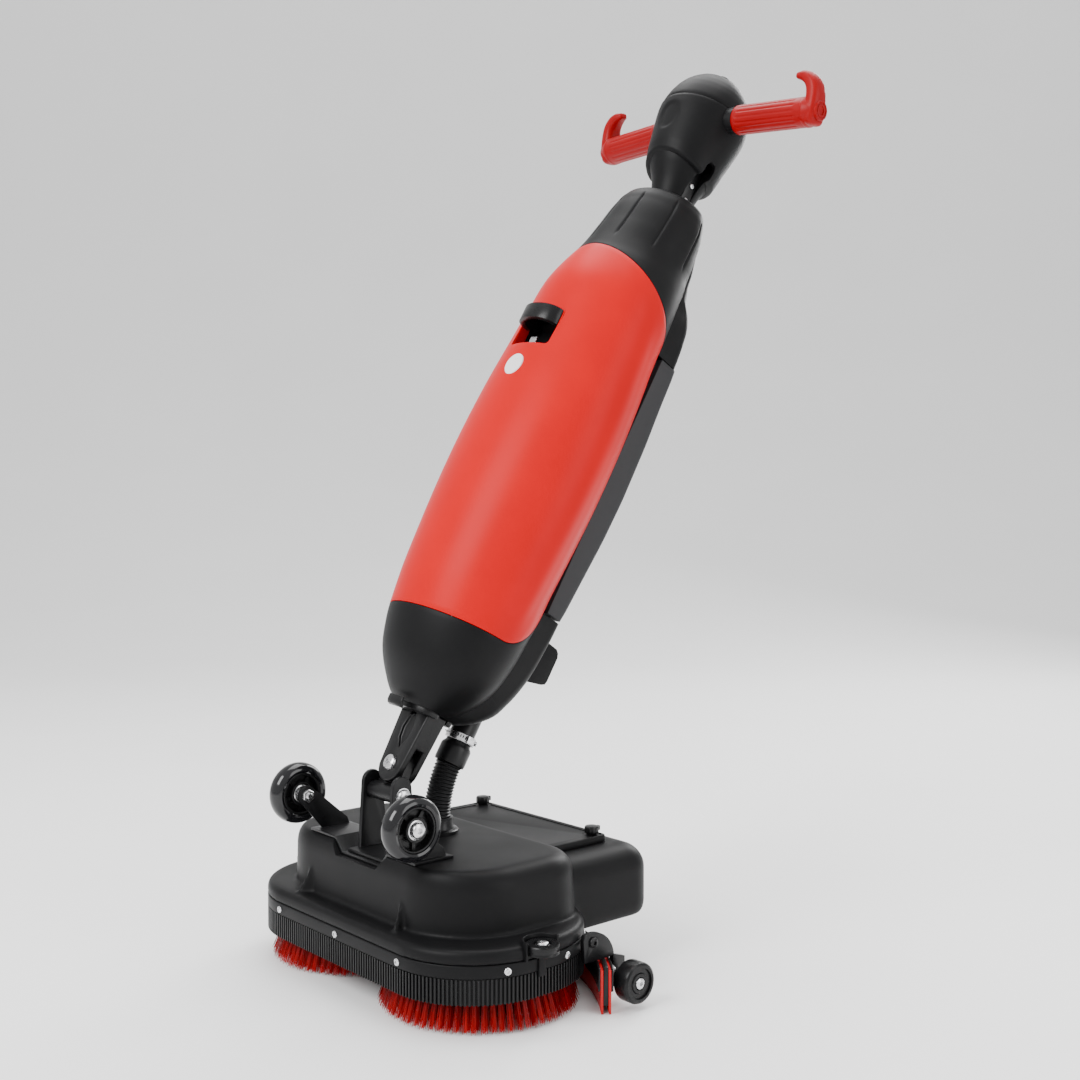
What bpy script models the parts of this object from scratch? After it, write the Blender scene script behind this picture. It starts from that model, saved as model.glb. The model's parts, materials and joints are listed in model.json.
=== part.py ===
"""Upright wet dry floor scrubber: twin disc brush deck, curved squeegee, tilting and swinging body, T handle.

Units are metres, +Z up, -Y is the front, +X is the machine's right-hand side seen from the handle's front.
The deck is laid out round the midpoint between the two brushes, on the floor.
The body is laid out in its own frame: X across, Y to its rear, Z along it, from the swing bolt.
"""

import math

import bpy
import numpy as np
from mathutils import Vector

GAP = 0.0003  # between touching pieces
ORIGIN_Y = -0.1858  # brings the middle of the footprint to the row's origin

# Brushes and skirt
BRUSH_X = 0.117
BRUSH_TIP_R = 0.1164
BRISTLE_TOP_Z = 0.042
BLOCK_TOP_Z = 0.058
SKIRT_HALF = (0.232, 0.1195)
SKIRT_CORNER = 0.108
SKIRT_Z = (0.036, 0.079)
SKIRT_WALL = 0.004
PLATE_Z = (0.072, 0.076)
MOTOR_R = 0.040
MOTOR_TOP_Z = 0.136

# Deck cover
RIM_TOP_Z = 0.0955
DOME_HALF = (0.194, 0.093)
DOME_TOP_Z = 0.1665
POD_HALF_X = 0.162
POD_REAR_Y = 0.244
POD_TOP_Z = 0.1488
POD_ROOM_TOP_Z = 0.1325
POD_BOTTOM_Z = 0.060
NOTCH_HALF_X = 0.047
COVER_WALL = 0.004
FRONT_DRAFT = 0.4  # the front wall leans in less than the sides
TROUGH_HALF_X = 0.0412
TROUGH_Y = (-0.120, -0.012)
TROUGH_Z = 0.150
BATTERY_COVER_HALF_X = 0.122
BATTERY_COVER_Y = (0.092, 0.201)
KNOB_XY = (0.108, 0.186)

# Transport wheels on their bent bracket
WHEEL_AT = (0.119, -0.096, 0.213)
WHEEL_R = 0.0373
WHEEL_WIDTH = 0.024
ARM_X = (0.098, 0.101)
SHEET = 0.003

# Side bumper rollers
BUMPER_AT = (0.234, -0.005)
BUMPER_R = 0.019
BUMPER_Z = (0.0836, 0.0950)

# Squeegee
SQUEEGEE_R = 0.392
SQUEEGEE_TIP = (0.250, 0.075)
SQUEEGEE_REAR_Y = 0.165
LIFT_AXIS = (0.076, 0.076)
LIFT_ARM_X = (0.222, 0.228)
ROLLER_AT = (0.257, 0.112, 0.031)
ROLLER_R = 0.0235

# Tilt and swing joints
TILT_PIN = (0.0, -0.046, 0.226)
LEAN = math.radians(29.3)
SWING_BOLT = (0.0, -0.040, 0.261)
SWING = math.radians(3.3)
CLEVIS_X = (0.027, 0.033)

# Suction hose
HOSE_R = 0.0165
HOSE_FOOT = (0.0, 0.028, 0.1863)
HOSE_TOP = (0.0, 0.080, 0.034)  # in the body's frame

# Body outline: height, half width, centre, front depth, rear depth, back half width, back depth, corner
BODY = np.array([
    [0.072, 0.040, 0.000, 0.0220, 0.0340, 0.034, 0.0480, 0.020],
    [0.077, 0.047, 0.000, 0.0280, 0.0440, 0.038, 0.0590, 0.024],
    [0.097, 0.067, 0.000, 0.0440, 0.0600, 0.046, 0.0850, 0.026],
    [0.124, 0.085, 0.000, 0.0610, 0.0720, 0.054, 0.0960, 0.025],
    [0.154, 0.094, 0.000, 0.0720, 0.0780, 0.060, 0.1010, 0.022],
    [0.208, 0.101, 0.000, 0.0820, 0.0820, 0.062, 0.1030, 0.014],
    [0.280, 0.106, 0.000, 0.0880, 0.0860, 0.062, 0.1030, 0.010],
    [0.386, 0.111, 0.000, 0.0915, 0.0890, 0.062, 0.1030, 0.010],
    [0.480, 0.109, 0.000, 0.0900, 0.0890, 0.062, 0.1040, 0.010],
    [0.560, 0.102, 0.000, 0.0855, 0.0870, 0.062, 0.1055, 0.010],
    [0.600, 0.099, 0.000, 0.0830, 0.0835, 0.061, 0.1060, 0.011],
    [0.650, 0.093, 0.004, 0.0830, 0.0800, 0.060, 0.1035, 0.012],
    [0.672, 0.0885, 0.007, 0.0795, 0.0775, 0.057, 0.1030, 0.014],
    [0.690, 0.084, 0.0095, 0.0755, 0.0760, 0.052, 0.1000, 0.016],
    [0.704, 0.080, 0.012, 0.0725, 0.0750, 0.050, 0.0905, 0.018],
    [0.716, 0.077, 0.0135, 0.0705, 0.0725, 0.047, 0.0870, 0.019],
    [0.750, 0.073, 0.018, 0.0670, 0.0655, 0.042, 0.0830, 0.0195],
    [0.788, 0.068, 0.024, 0.0650, 0.0525, 0.035, 0.0740, 0.020],
    [0.804, 0.063, 0.025, 0.0605, 0.0465, 0.032, 0.0670, 0.020],
    [0.814, 0.056, 0.026, 0.0530, 0.0400, 0.028, 0.0610, 0.018],
    [0.819, 0.044, 0.026, 0.0405, 0.0320, 0.022, 0.0530, 0.016],
])
SHELL = 0.0035
BACK_HALF_X = 0.0612
BACK_Z = (0.243, 0.611)
BACK_BOW = [(0.243, 0.1030), (0.300, 0.1075), (0.360, 0.1125), (0.420, 0.1145), (0.500, 0.1125), (0.560, 0.1085),
            (0.611, 0.1065)]  # height and depth of the tank's rear face

# Head and handle: height, radius and centre of each ring
HEAD = [(0.868, 0.047), (0.884, 0.052), (0.918, 0.058), (0.944, 0.0625), (0.9555, 0.0625)]
CAP = [(0.9565, 0.0622), (0.975, 0.0585), (0.994, 0.050), (1.009, 0.037), (1.016, 0.026)]
HEAD_Y = 0.018
BAR_Z = 0.947
BAR_Y = 0.0164
BAR_R = 0.0118
GRIP_R = 0.0192
GRIP_FROM = 0.070
GRIP_LENGTH = 0.112
GRIP_SWEEP = math.radians(5)

# Pocket and handle on the front cover
POCKET_HALF_X = 0.036
POCKET_Z = (0.534, 0.586)
POCKET_DEPTH_Y = -0.052
LATCH_AXIS = (-0.066, 0.574)

COLOURS = {
    "black_plastic": ((0.022, 0.022, 0.024), 0.48, 0.0),
    "red_plastic": ((0.86, 0.055, 0.035), 0.34, 0.0),
    "red_bristle": ((0.55, 0.004, 0.008), 0.55, 0.0),
    "red_rubber": ((0.62, 0.02, 0.03), 0.50, 0.0),
    "grey_plastic": ((0.065, 0.065, 0.068), 0.50, 0.0),
    "black_metal": ((0.018, 0.018, 0.019), 0.38, 0.6),
    "steel": ((0.62, 0.62, 0.63), 0.26, 1.0),
    "tyre": ((0.030, 0.030, 0.033), 0.14, 0.0),
    "hose": ((0.016, 0.016, 0.017), 0.42, 0.0),
    "tank": ((0.72, 0.74, 0.76), 0.40, 0.0),
    "motor": ((0.30, 0.31, 0.33), 0.40, 0.7),
}


# ---------- building blocks ----------

def clear_scene():
    for obj in list(bpy.data.objects):
        bpy.data.objects.remove(obj)


def material(name):
    found = bpy.data.materials.get(name)
    if found:
        return found
    colour, roughness, metallic = COLOURS[name]
    made = bpy.data.materials.new(name)
    made.use_nodes = True
    shader = made.node_tree.nodes["Principled BSDF"]
    shader.inputs["Base Color"].default_value = (*colour, 1.0)
    shader.inputs["Roughness"].default_value = roughness
    shader.inputs["Metallic"].default_value = metallic
    return made


def empty(name, parent, location, rotation=(0, 0, 0)):
    made = bpy.data.objects.new(name, None)
    made.empty_display_size = 0.05
    made.parent = parent
    made.location = location
    made.rotation_euler = rotation
    bpy.context.scene.collection.objects.link(made)
    return made


def add(name, shape, finish, parent, location=(0, 0, 0), rotation=(0, 0, 0)):
    """A mesh object from (points, faces), under its parent."""
    points, faces = shape
    mesh = bpy.data.meshes.new(name)
    mesh.from_pydata([tuple(p) for p in points], [], faces)
    mesh.validate()
    made = bpy.data.objects.new(name, mesh)
    made.parent = parent
    made.location = location
    made.rotation_euler = rotation
    bpy.context.scene.collection.objects.link(made)
    if finish:
        mesh.materials.append(material(finish))
        mesh.shade_smooth()
        mesh.set_sharp_from_angle(angle=math.radians(35))
    return made


def combine(target, shape, operation, parent, location=(0, 0, 0), rotation=(0, 0, 0)):
    """Joins a helper shape to the target, or cuts it away."""
    name = f"{target.name}_{operation.lower()}_{len(target.modifiers)}"
    helper = add(name, shape, None, parent, location, rotation)
    helper.hide_render = True
    helper.display_type = "WIRE"
    modifier = target.modifiers.new(name, "BOOLEAN")
    modifier.operation = operation
    modifier.object = helper
    return target


def cut(target, shape, parent, location=(0, 0, 0), rotation=(0, 0, 0)):
    return combine(target, shape, "DIFFERENCE", parent, location, rotation)


def join(target, shape, parent, location=(0, 0, 0), rotation=(0, 0, 0)):
    return combine(target, shape, "UNION", parent, location, rotation)


def box(low, high):
    """A block between two opposite corners."""
    points = [(x, y, z) for z in (low[2], high[2]) for y in (low[1], high[1]) for x in (low[0], high[0])]
    faces = [(0, 2, 3, 1), (4, 5, 7, 6), (0, 1, 5, 4), (2, 6, 7, 3), (0, 4, 6, 2), (1, 3, 7, 5)]
    return points, faces


def loft(rings, closed=False):
    """A skin through equal rings, with end caps, or closed on itself like a torus.

    Each ring turns anticlockwise seen from the side that the next ring lies on.
    """
    count = len(rings[0])
    points = [tuple(p) for ring in rings for p in ring]
    faces = []
    for k in range(len(rings) if closed else len(rings) - 1):
        here = k * count
        there = (k + 1) % len(rings) * count
        for i in range(count):
            j = (i + 1) % count
            faces.append((here + i, here + j, there + j, there + i))
    if not closed:
        faces.append(tuple(reversed(range(count))))
        last = (len(rings) - 1) * count
        faces.append(tuple(range(last, last + count)))
    return points, faces


def circle(radius, segments, z=0.0, centre=(0.0, 0.0)):
    turns = [2 * math.pi * i / segments for i in range(segments)]
    return [(centre[0] + radius * math.cos(a), centre[1] + radius * math.sin(a), z) for a in turns]


def turned(profile, segments=14):
    """A solid turned round Z from (radius, height) steps, bottom to top, capped on the axis."""
    return loft([circle(radius, segments, z) for radius, z in profile])


def turned_ring(profile, segments=20):
    """A ring turned round Z from a closed profile: up its outer side, then down its bore."""
    return loft([circle(radius, segments, z) for radius, z in profile], closed=True)


def tube(outer, inner, z0, z1, segments=16):
    return turned_ring([(outer, z0), (outer, z1), (inner, z1), (inner, z0)], segments)


def along_x(shape):
    """Turns a shape made round Z so that it lies along X."""
    points, faces = shape
    return [(z, y, -x) for x, y, z in points], faces


def along_y(shape):
    """Turns a shape made round Z so that it lies along Y."""
    points, faces = shape
    return [(x, z, -y) for x, y, z in points], faces


def moved(shape, offset):
    points, faces = shape
    return [tuple(a + b for a, b in zip(p, offset)) for p in points], faces


def mirrored(shape):
    points, faces = shape
    return [(-x, y, z) for x, y, z in points], [tuple(reversed(f)) for f in faces]


def rounded_rect(half_x, half_y, corner, z, steps=5, centre_y=0.0):
    """A rectangle with round corners, anticlockwise seen from above."""
    ring = []
    for quarter, (sx, sy) in enumerate(((1, 1), (-1, 1), (-1, -1), (1, -1))):
        for k in range(steps + 1):
            a = math.radians(90 * (quarter + k / steps))
            x = sx * (half_x - corner) + corner * math.cos(a)
            y = sy * (half_y - corner) + corner * math.sin(a)
            ring.append((x, centre_y + y, z))
    return ring


def extruded(outline, low, high, axis=0):
    """A flat outline of two coordinates pulled along one axis."""
    def at(point, height):
        rest = list(point)
        rest.insert(axis, height)
        return tuple(rest)
    area = sum(a[0] * b[1] - b[0] * a[1] for a, b in zip(outline, outline[1:] + outline[:1]))
    turn = 1 if axis != 1 else -1
    ring = outline if area * turn > 0 else outline[::-1]
    return loft([[at(p, low) for p in ring], [at(p, high) for p in ring]])


def arc_points(centre, radius, start, end, steps):
    """Points on an arc, with its angles in degrees."""
    angles = [math.radians(start + (end - start) * k / steps) for k in range(steps + 1)]
    return [(centre[0] + radius * math.cos(a), centre[1] + radius * math.sin(a)) for a in angles]


def smooth_rows(table, heights):
    """Rows of the table at the given heights, on smooth curves through its own rows."""
    keys = table[:, 0]
    slopes = np.gradient(table, keys, axis=0)
    rows = []
    for h in heights:
        k = int(np.clip(np.searchsorted(keys, h) - 1, 0, len(keys) - 2))
        span = keys[k + 1] - keys[k]
        u = (h - keys[k]) / span
        a, b = table[k], table[k + 1]
        ma, mb = slopes[k] * span, slopes[k + 1] * span
        rows.append((2*u**3 - 3*u**2 + 1) * a + (u**3 - 2*u**2 + u) * ma
                    + (3*u**2 - 2*u**3) * b + (u**3 - u**2) * mb)
    return rows


# ---------- the body's outline ----------

FRONT_STEPS = 12
SIDE_STEPS = 3


def side_points(row, inset):
    """Half of a body section: from the middle of the front, round the right side, to the middle of the back."""
    _, half, centre, front, rear, back_half, back, corner = row
    half, front, rear, back = half - inset, front - inset, rear - inset, back - inset
    back_half = min(back_half - inset, half * 0.94)
    corner = max(min(corner, back_half * 0.6) - inset, 0.002)
    meet = math.asin(back_half / half)
    points = []
    for k in range(FRONT_STEPS // 2 + 1):
        a = math.pi / 2 * k / (FRONT_STEPS // 2)
        points.append((half * math.sin(a), centre - front * math.cos(a)))
    for k in range(1, SIDE_STEPS + 1):
        a = (math.pi / 2 - meet) * k / SIDE_STEPS
        points.append((half * math.cos(a), centre + rear * math.sin(a)))
    corner_y = max(back - corner, points[-1][1] + 0.001)
    for k in range(4):
        a = math.pi / 2 * k / 3
        points.append((back_half - corner + corner * math.cos(a), corner_y + (back - corner_y) * math.sin(a)))
    points.append((0.0, back))
    return points


SEAM_COLUMNS = FRONT_STEPS // 2 + SIDE_STEPS  # columns from the middle of the front to the back's side


def low_seam(column):
    """Height of the seam between the lower shell and the front cover."""
    u = min(abs(column) / SEAM_COLUMNS, 1.0)
    return 0.176 + 0.064 * max(0.0, (u - 0.66) / 0.34) ** 2


def high_seam(column):
    """Height of the seam between the front cover and the collar."""
    u = min(abs(column) / SEAM_COLUMNS, 1.0)
    return 0.702 - 0.090 * u ** 1.7


def section_point(column, height, inset):
    """The point of the body's outline in one column at one height."""
    x, y = side_points(smooth_rows(BODY, [height])[0], inset)[abs(column)]
    return (math.copysign(x, column) if column else 0.0, y, height)


def thick_patch(columns, rows, height_at, inner=SHELL):
    """A curved wall over a range of columns, from its outer grid and its inner one."""
    grids = []
    for inset in (0.0, inner):
        grids.append([[section_point(c, height_at(c, r / rows), inset) for c in columns] for r in range(rows + 1)])
    wide = len(columns)
    size = wide * (rows + 1)
    points = [p for grid in grids for row in grid for p in row]
    faces = []
    for r in range(rows):
        for i in range(wide - 1):
            a, b = r * wide + i, r * wide + i + 1
            faces.append((a, b, b + wide, a + wide))
            faces.append((size + a, size + a + wide, size + b + wide, size + b))
    for i in range(wide - 1):
        top = rows * wide + i
        faces.append((i, size + i, size + i + 1, i + 1))
        faces.append((top, top + 1, size + top + 1, size + top))
    for r in range(rows):
        left, right = r * wide, r * wide + wide - 1
        faces.append((left, left + wide, size + left + wide, size + left))
        faces.append((right, size + right, size + right + wide, right + wide))
    return points, faces


def half_columns():
    """Every column of a section, from the left of the middle of the back round the front to its right."""
    last = len(side_points(BODY[7], 0.0)) - 1
    return list(range(-last + 1, last + 1))


# ---------- deck ----------

def deck(frame):
    add("chassis_plate", loft([
        rounded_rect(SKIRT_HALF[0] - 0.0045, SKIRT_HALF[1] - 0.0045, SKIRT_CORNER - 0.0045, z)
        for z in PLATE_Z]), "black_metal", frame)
    plate = bpy.data.objects["chassis_plate"]
    for side in (-1, 1):
        cut(plate, turned([(0.0095, 0.05), (0.0095, 0.10)]), frame, (side * BRUSH_X, 0, 0))
    wall = SKIRT_WALL
    outer = [rounded_rect(*SKIRT_HALF, SKIRT_CORNER, z) for z in SKIRT_Z]
    inner = [
        rounded_rect(SKIRT_HALF[0] - wall, SKIRT_HALF[1] - wall, SKIRT_CORNER - wall, z)
        for z in reversed(SKIRT_Z)]
    add("skirt_band", loft(outer + inner, closed=True), "black_plastic", frame)
    deck_cover(frame)
    half, (y0, y1) = BATTERY_COVER_HALF_X - 0.001, BATTERY_COVER_Y
    middle, depth = (y0 + y1) / 2, (y1 - y0) / 2 - 0.001
    lid = [rounded_rect(half - t, depth - t, 0.008, z, 3, middle)
           for z, t in ((0.1493, 0.0), (0.1545, 0.0), (0.1565, 0.002))]
    add("battery_cover", loft(lid), "black_plastic", frame)
    for side, name in ((-1, "left"), (1, "right")):
        pack = box((0.056, 0.128, 0.0675), (0.138, 0.2305, POD_ROOM_TOP_Z - 0.003))
        add(f"battery_{name}", pack if side > 0 else mirrored(pack), "grey_plastic", frame)
        chamfer = 0.006
        motor = turned([(MOTOR_R, PLATE_Z[1] + GAP), (MOTOR_R, MOTOR_TOP_Z - chamfer),
                        (MOTOR_R - chamfer, MOTOR_TOP_Z)])
        add(f"brush_motor_{name}", motor, "motor", frame, (side * BRUSH_X, 0, 0))


def cover_ring(inset, z, half_x, front_y, rear_y, corner_front, corner_rear, steps=4):
    """A plan outline of the cover: wide round corners in front, tighter ones behind."""
    ring = []
    corners = (
        (1, rear_y, corner_rear, 0), (-1, rear_y, corner_rear, 90),
        (-1, front_y, corner_front, 180), (1, front_y, corner_front, 270))
    for sx, y, corner, start in corners:
        radius = max(corner - inset, 0.004)
        sy = 1 if y == rear_y else -1
        step = inset if sy > 0 else inset * FRONT_DRAFT
        for k in range(steps + 1):
            a = math.radians(start + 90 * k / steps)
            ring.append((sx * (half_x - inset - radius) + radius * math.cos(a),
                         y - sy * (step + radius) + radius * math.sin(a), z))
    return ring


def deck_cover(frame):
    """The moulded cover: rim over the skirt, dome over the motors, two pods behind for the batteries."""
    rim = [(0.0, SKIRT_Z[1] + GAP), (0.0, 0.0885), (0.0035, 0.0935), (0.011, RIM_TOP_Z)]
    cover = add("deck_cover", loft([
        rounded_rect(SKIRT_HALF[0] - t, SKIRT_HALF[1] - t, SKIRT_CORNER - t, z) for t, z in rim
    ]), "black_plastic", frame)
    front, rear = -DOME_HALF[1], 0.112
    dome = [(0.0, 0.090), (0.003, 0.135), (0.009, 0.155), (0.016, 0.163), (0.026, DOME_TOP_Z)]
    join(cover, loft([cover_ring(t, z, DOME_HALF[0], front, rear, 0.092, 0.060) for t, z in dome]), frame)
    pods = [(0.010, POD_BOTTOM_Z), (0.002, 0.068), (0.0, 0.116), (0.006, 0.131), (0.018, 0.142),
            (0.036, POD_TOP_Z)]
    join(cover, loft([
        cover_ring(t, z, POD_HALF_X, 0.030, POD_REAR_Y, 0.05, 0.034, 3) for t, z in pods]), frame)
    skirt_room = [rounded_rect(SKIRT_HALF[0] + GAP, SKIRT_HALF[1] + GAP, SKIRT_CORNER + GAP, z)
                  for z in (0.03, SKIRT_Z[1] + GAP)]
    cut(cover, loft(skirt_room), frame)
    for side in (-1, 1):
        at = (side * BUMPER_AT[0], BUMPER_AT[1], 0)
        room = BUMPER_R + 0.0015
        join(cover, turned([(0.016, 0.0795), (0.016, BUMPER_Z[0] - GAP)]), frame, at)
        cut(cover, turned([(room, BUMPER_Z[0] - GAP), (room, 0.12)]), frame, at)
        stud = turned([(0.0040, 0.0810), (0.0040, BUMPER_Z[1] - 0.0038), (0.0080, BUMPER_Z[1] - 0.0036),
                       (0.0070, BUMPER_Z[1] + 0.0010)], 12)
        join(cover, stud, frame, at)
    # hollow underside
    under = [(0.0045, 0.05), (0.0045, 0.0865), (0.012, 0.0912)]
    cut(cover, loft([
        rounded_rect(SKIRT_HALF[0] - t, SKIRT_HALF[1] - t, SKIRT_CORNER - t, z) for t, z in under]), frame)
    wall = COVER_WALL
    hollow = [(0.0, 0.05), (0.003, 0.128), (0.014, 0.143)]
    cut(cover, loft([
        cover_ring(t + wall, z, DOME_HALF[0], front, rear, 0.092, 0.060) for t, z in hollow]), frame)
    for side in (-1, 1):
        room = box((NOTCH_HALF_X + wall, 0.090, 0.03), (0.144, POD_REAR_Y - 0.012, POD_ROOM_TOP_Z))
        cut(cover, room if side > 0 else mirrored(room), frame)
    cut(cover, box((-0.048, 0.090, 0.03), (0.048, 0.197, POD_ROOM_TOP_Z)), frame)
    cut(cover, box((-0.0475, 0.2015, 0.0), (0.0475, 0.30, 0.30)), frame)
    y0, y1 = BATTERY_COVER_Y
    cut(cover, box((-BATTERY_COVER_HALF_X, y0, 0.149), (BATTERY_COVER_HALF_X, y1, 0.30)), frame)
    trough = [(-0.0560, 0.30), (-0.0560, DOME_TOP_Z), (-TROUGH_HALF_X, TROUGH_Z), (TROUGH_HALF_X, TROUGH_Z),
              (0.0560, DOME_TOP_Z), (0.0560, 0.30)]
    cut(cover, extruded(trough, *TROUGH_Y, axis=1), frame)
    cut(cover, turned([(0.0184, 0.12), (0.0184, 0.20)], 18), frame, HOSE_FOOT[:2] + (0.0,))


def knobs(frame):
    """Quarter-turn knobs that hold the battery cover."""
    for side, name in ((-1, "left"), (1, "right")):
        at = (side * KNOB_XY[0], KNOB_XY[1], 0.1568)
        stem, top = 0.003, 0.0105
        knob = turned([(0.0062, 0.0), (0.0062, stem), (0.0082, stem + GAP), (0.0082, top), (0.0070, 0.0120)])
        made = add(f"cover_knob_{name}", knob, "black_plastic", frame, at)
        join(made, box((-0.0022, 0.004, 0.0045), (0.0022, 0.0125, 0.0105)), frame, at)


def brush(frame, side, name):
    """One disc brush: the driven block, and its ring of bristles."""
    at = (side * BRUSH_X, 0, 0)
    top = BRISTLE_TOP_Z
    block = turned([
        (0.103, top + GAP), (0.105, top + 0.004), (0.105, BLOCK_TOP_Z - 0.004), (0.100, BLOCK_TOP_Z),
        (0.026, BLOCK_TOP_Z + GAP), (0.022, 0.068), (0.0078, 0.068 + GAP), (0.0078, PLATE_Z[1])], 24)
    add(f"brush_block_{name}", block, "black_plastic", frame, at)
    ring = turned_ring([
        (BRUSH_TIP_R, 0.0), (0.1115, 0.018), (0.1045, 0.032), (0.100, top), (0.062, top), (0.052, 0.0)], 24)
    add(f"brush_bristles_{name}", ring, "red_bristle", frame, at)


def bumper(frame, side, name):
    """A side roller that keeps the skirt off walls, on a stud of the cover."""
    at = (side * BUMPER_AT[0], BUMPER_AT[1], 0)
    z0, z1 = BUMPER_Z
    roller = turned_ring([
        (BUMPER_R - 0.001, z0), (BUMPER_R, z0 + 0.001), (BUMPER_R, z1 - 0.001), (BUMPER_R - 0.001, z1),
        (0.0100, z1), (0.0100, z1 - 0.004), (0.0044, z1 - 0.004), (0.0044, z0)], 16)
    add(f"bumper_roller_{name}", roller, "black_plastic", frame, at)


# ---------- transport wheels ----------

def wheel_bracket(frame):
    """The bent sheet across the dome's front edge, with an arm out to each wheel."""
    floor, flange = TROUGH_Z + GAP, DOME_TOP_Z + GAP
    outline = [
        (-0.109, flange), (-0.0545, flange), (-0.0400, floor), (0.0400, floor), (0.0545, flange), (0.109, flange),
        (0.109, flange + SHEET), (0.0533, flange + SHEET), (0.0388, floor + SHEET), (-0.0388, floor + SHEET),
        (-0.0533, flange + SHEET), (-0.109, flange + SHEET)]
    sheet = add("wheel_bracket", extruded(outline, -0.084, -0.030, axis=1), "black_metal", frame)
    _, wy, wz = WHEEL_AT
    tip = arc_points((wy, wz), 0.0115, 45, 225, 8)
    arm = tip + [(-0.072, flange + 0.001), (-0.034, flange + 0.001), (-0.038, 0.178)]
    for side in (-1, 1):
        plate = extruded(arm, *ARM_X)
        bore = moved(along_x(turned([(0.0053, -0.01), (0.0053, 0.01)])), (ARM_X[0], wy, wz))
        join(sheet, plate if side > 0 else mirrored(plate), frame)
        cut(sheet, bore if side > 0 else mirrored(bore), frame)


def wheel(frame, side, name):
    """A transport wheel: soft tyre on a hard core, turning on a bolt through the bracket's arm."""
    x, y, z = WHEEL_AT
    half = WHEEL_WIDTH / 2
    tyre = along_x(turned_ring([
        (0.0262, -half + 0.001), (0.0320, -half), (WHEEL_R, -0.004), (WHEEL_R, 0.004),
        (0.0320, half), (0.0262, half - 0.001)], 24))
    core = along_x(turned_ring([
        (0.0259, -half + 0.002), (0.0259, half - 0.002), (0.0225, half - 0.002), (0.0225, 0.004), (0.0125, 0.004),
        (0.0125, half - 0.001), (0.0053, half - 0.001), (0.0053, -half + 0.001), (0.0125, -half + 0.001),
        (0.0125, -0.004), (0.0225, -0.004), (0.0225, -half + 0.002)], 16))
    bolt = along_x(turned([
        (0.0070, -0.027), (0.0080, -0.026), (0.0080, -0.0215), (0.0050, -0.0213), (0.0050, half - GAP),
        (0.0088, half), (0.0088, half + 0.003), (0.0060, half + 0.0045)], 12))
    shapes = (("tyre", tyre, "tyre"), ("core", core, "black_plastic"), ("axle_bolt", bolt, "steel"))
    for part, shape, finish in shapes:
        add(f"wheel_{part}_{name}", shape if side > 0 else mirrored(shape), finish, frame, (side * x, y, z))


# ---------- pivot ----------

def pivot_bracket(frame):
    """The clevis that stands in the cover's trough, and its tilt pin."""
    floor = TROUGH_Z + GAP + SHEET + GAP
    _, py, pz = TILT_PIN
    foot = box((-0.0365, -0.078, floor), (0.0365, -0.022, floor + 0.004))
    bracket = add("pivot_bracket", foot, "black_metal", frame)
    round_top = arc_points((py - 0.001, pz + 0.010), 0.0135, 180, 0, 8)
    side_plate = [(-0.066, floor + 0.001)] + round_top + [(-0.026, floor + 0.001)]
    for side in (-1, 1):
        plate = extruded(side_plate, *CLEVIS_X)
        join(bracket, plate if side > 0 else mirrored(plate), frame)
        hole = moved(along_x(turned([(0.0053, -0.01), (0.0053, 0.01)])), (side * 0.030, py, pz))
        cut(bracket, hole, frame)
    pin = along_x(turned([
        (0.0085, -0.0375), (0.0090, -0.0370), (0.0090, -0.0333), (0.0050, -0.0331), (0.0050, 0.0331),
        (0.0090, 0.0333), (0.0090, 0.0370), (0.0085, 0.0375)], 12))
    add("tilt_pin", pin, "steel", frame, TILT_PIN)


def knuckle(tilt, swing):
    """The block that tilts on the pin and carries the swing bolt."""
    block = add("knuckle_block", along_x(tube(0.0108, 0.0053, -0.0264, 0.0264)), "black_metal", tilt)
    by, bz = -0.0119, 0.0335
    tongue_y = (by + 0.0083, by + 0.0197)
    join(block, box((-0.0200, tongue_y[0], 0.0075), (0.0200, tongue_y[1], bz)), tilt)
    eye = along_y(turned([(0.0200, -tongue_y[1]), (0.0200, -tongue_y[0])], 18))
    join(block, ([(x, -y, z) for x, y, z in eye[0]], [tuple(reversed(f)) for f in eye[1]]), tilt, (0, 0, bz))
    hole = along_y(turned([(0.0063, -0.03), (0.0063, 0.03)]))
    cut(block, hole, tilt, (0, 0, bz))
    bolt = along_y(turned([
        (0.0075, -0.0052), (0.0098, -0.0040), (0.0098, -0.0003), (0.0060, 0.0), (0.0060, 0.0283),
        (0.0100, 0.0285), (0.0100, 0.0340), (0.0090, 0.0350)], 12))
    add("swing_bolt", bolt, "steel", swing)


def body_bracket(swing):
    """The cast arm under the body: two cheeks round the knuckle's tongue, joined above it."""
    lower = arc_points((0.0, 0.0), 0.0225, 180, 360, 10)
    front = lower + [(0.0290, 0.0715), (-0.0290, 0.0715)]
    arm = add("body_bracket", extruded(front, 0.0, 0.0280, axis=1), "black_metal", swing)
    slot = box((-0.04, 0.0080, -0.03), (0.04, 0.0200, 0.0245))
    cut(arm, slot, swing)
    cut(arm, along_y(turned([(0.0063, -0.04), (0.0063, 0.04)])), swing)
    leaf = [(0.0, 0.0200), (0.0080, 0.0330), (0.0100, 0.0460), (0.0070, 0.0600), (0.0, 0.0680),
            (-0.0070, 0.0600), (-0.0100, 0.0460), (-0.0080, 0.0330)]
    cut(arm, extruded(leaf, -0.01, 0.0035, axis=1), swing)


# ---------- hose ----------

def in_body(point):
    """World place of a point given in the body's frame."""
    x, y, z = point
    x, z = x * math.cos(SWING) + z * math.sin(SWING), z * math.cos(SWING) - x * math.sin(SWING)
    y, z = y * math.cos(LEAN) + z * math.sin(LEAN), z * math.cos(LEAN) - y * math.sin(LEAN)
    return Vector((x, y, z)) + Vector(SWING_BOLT)


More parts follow.
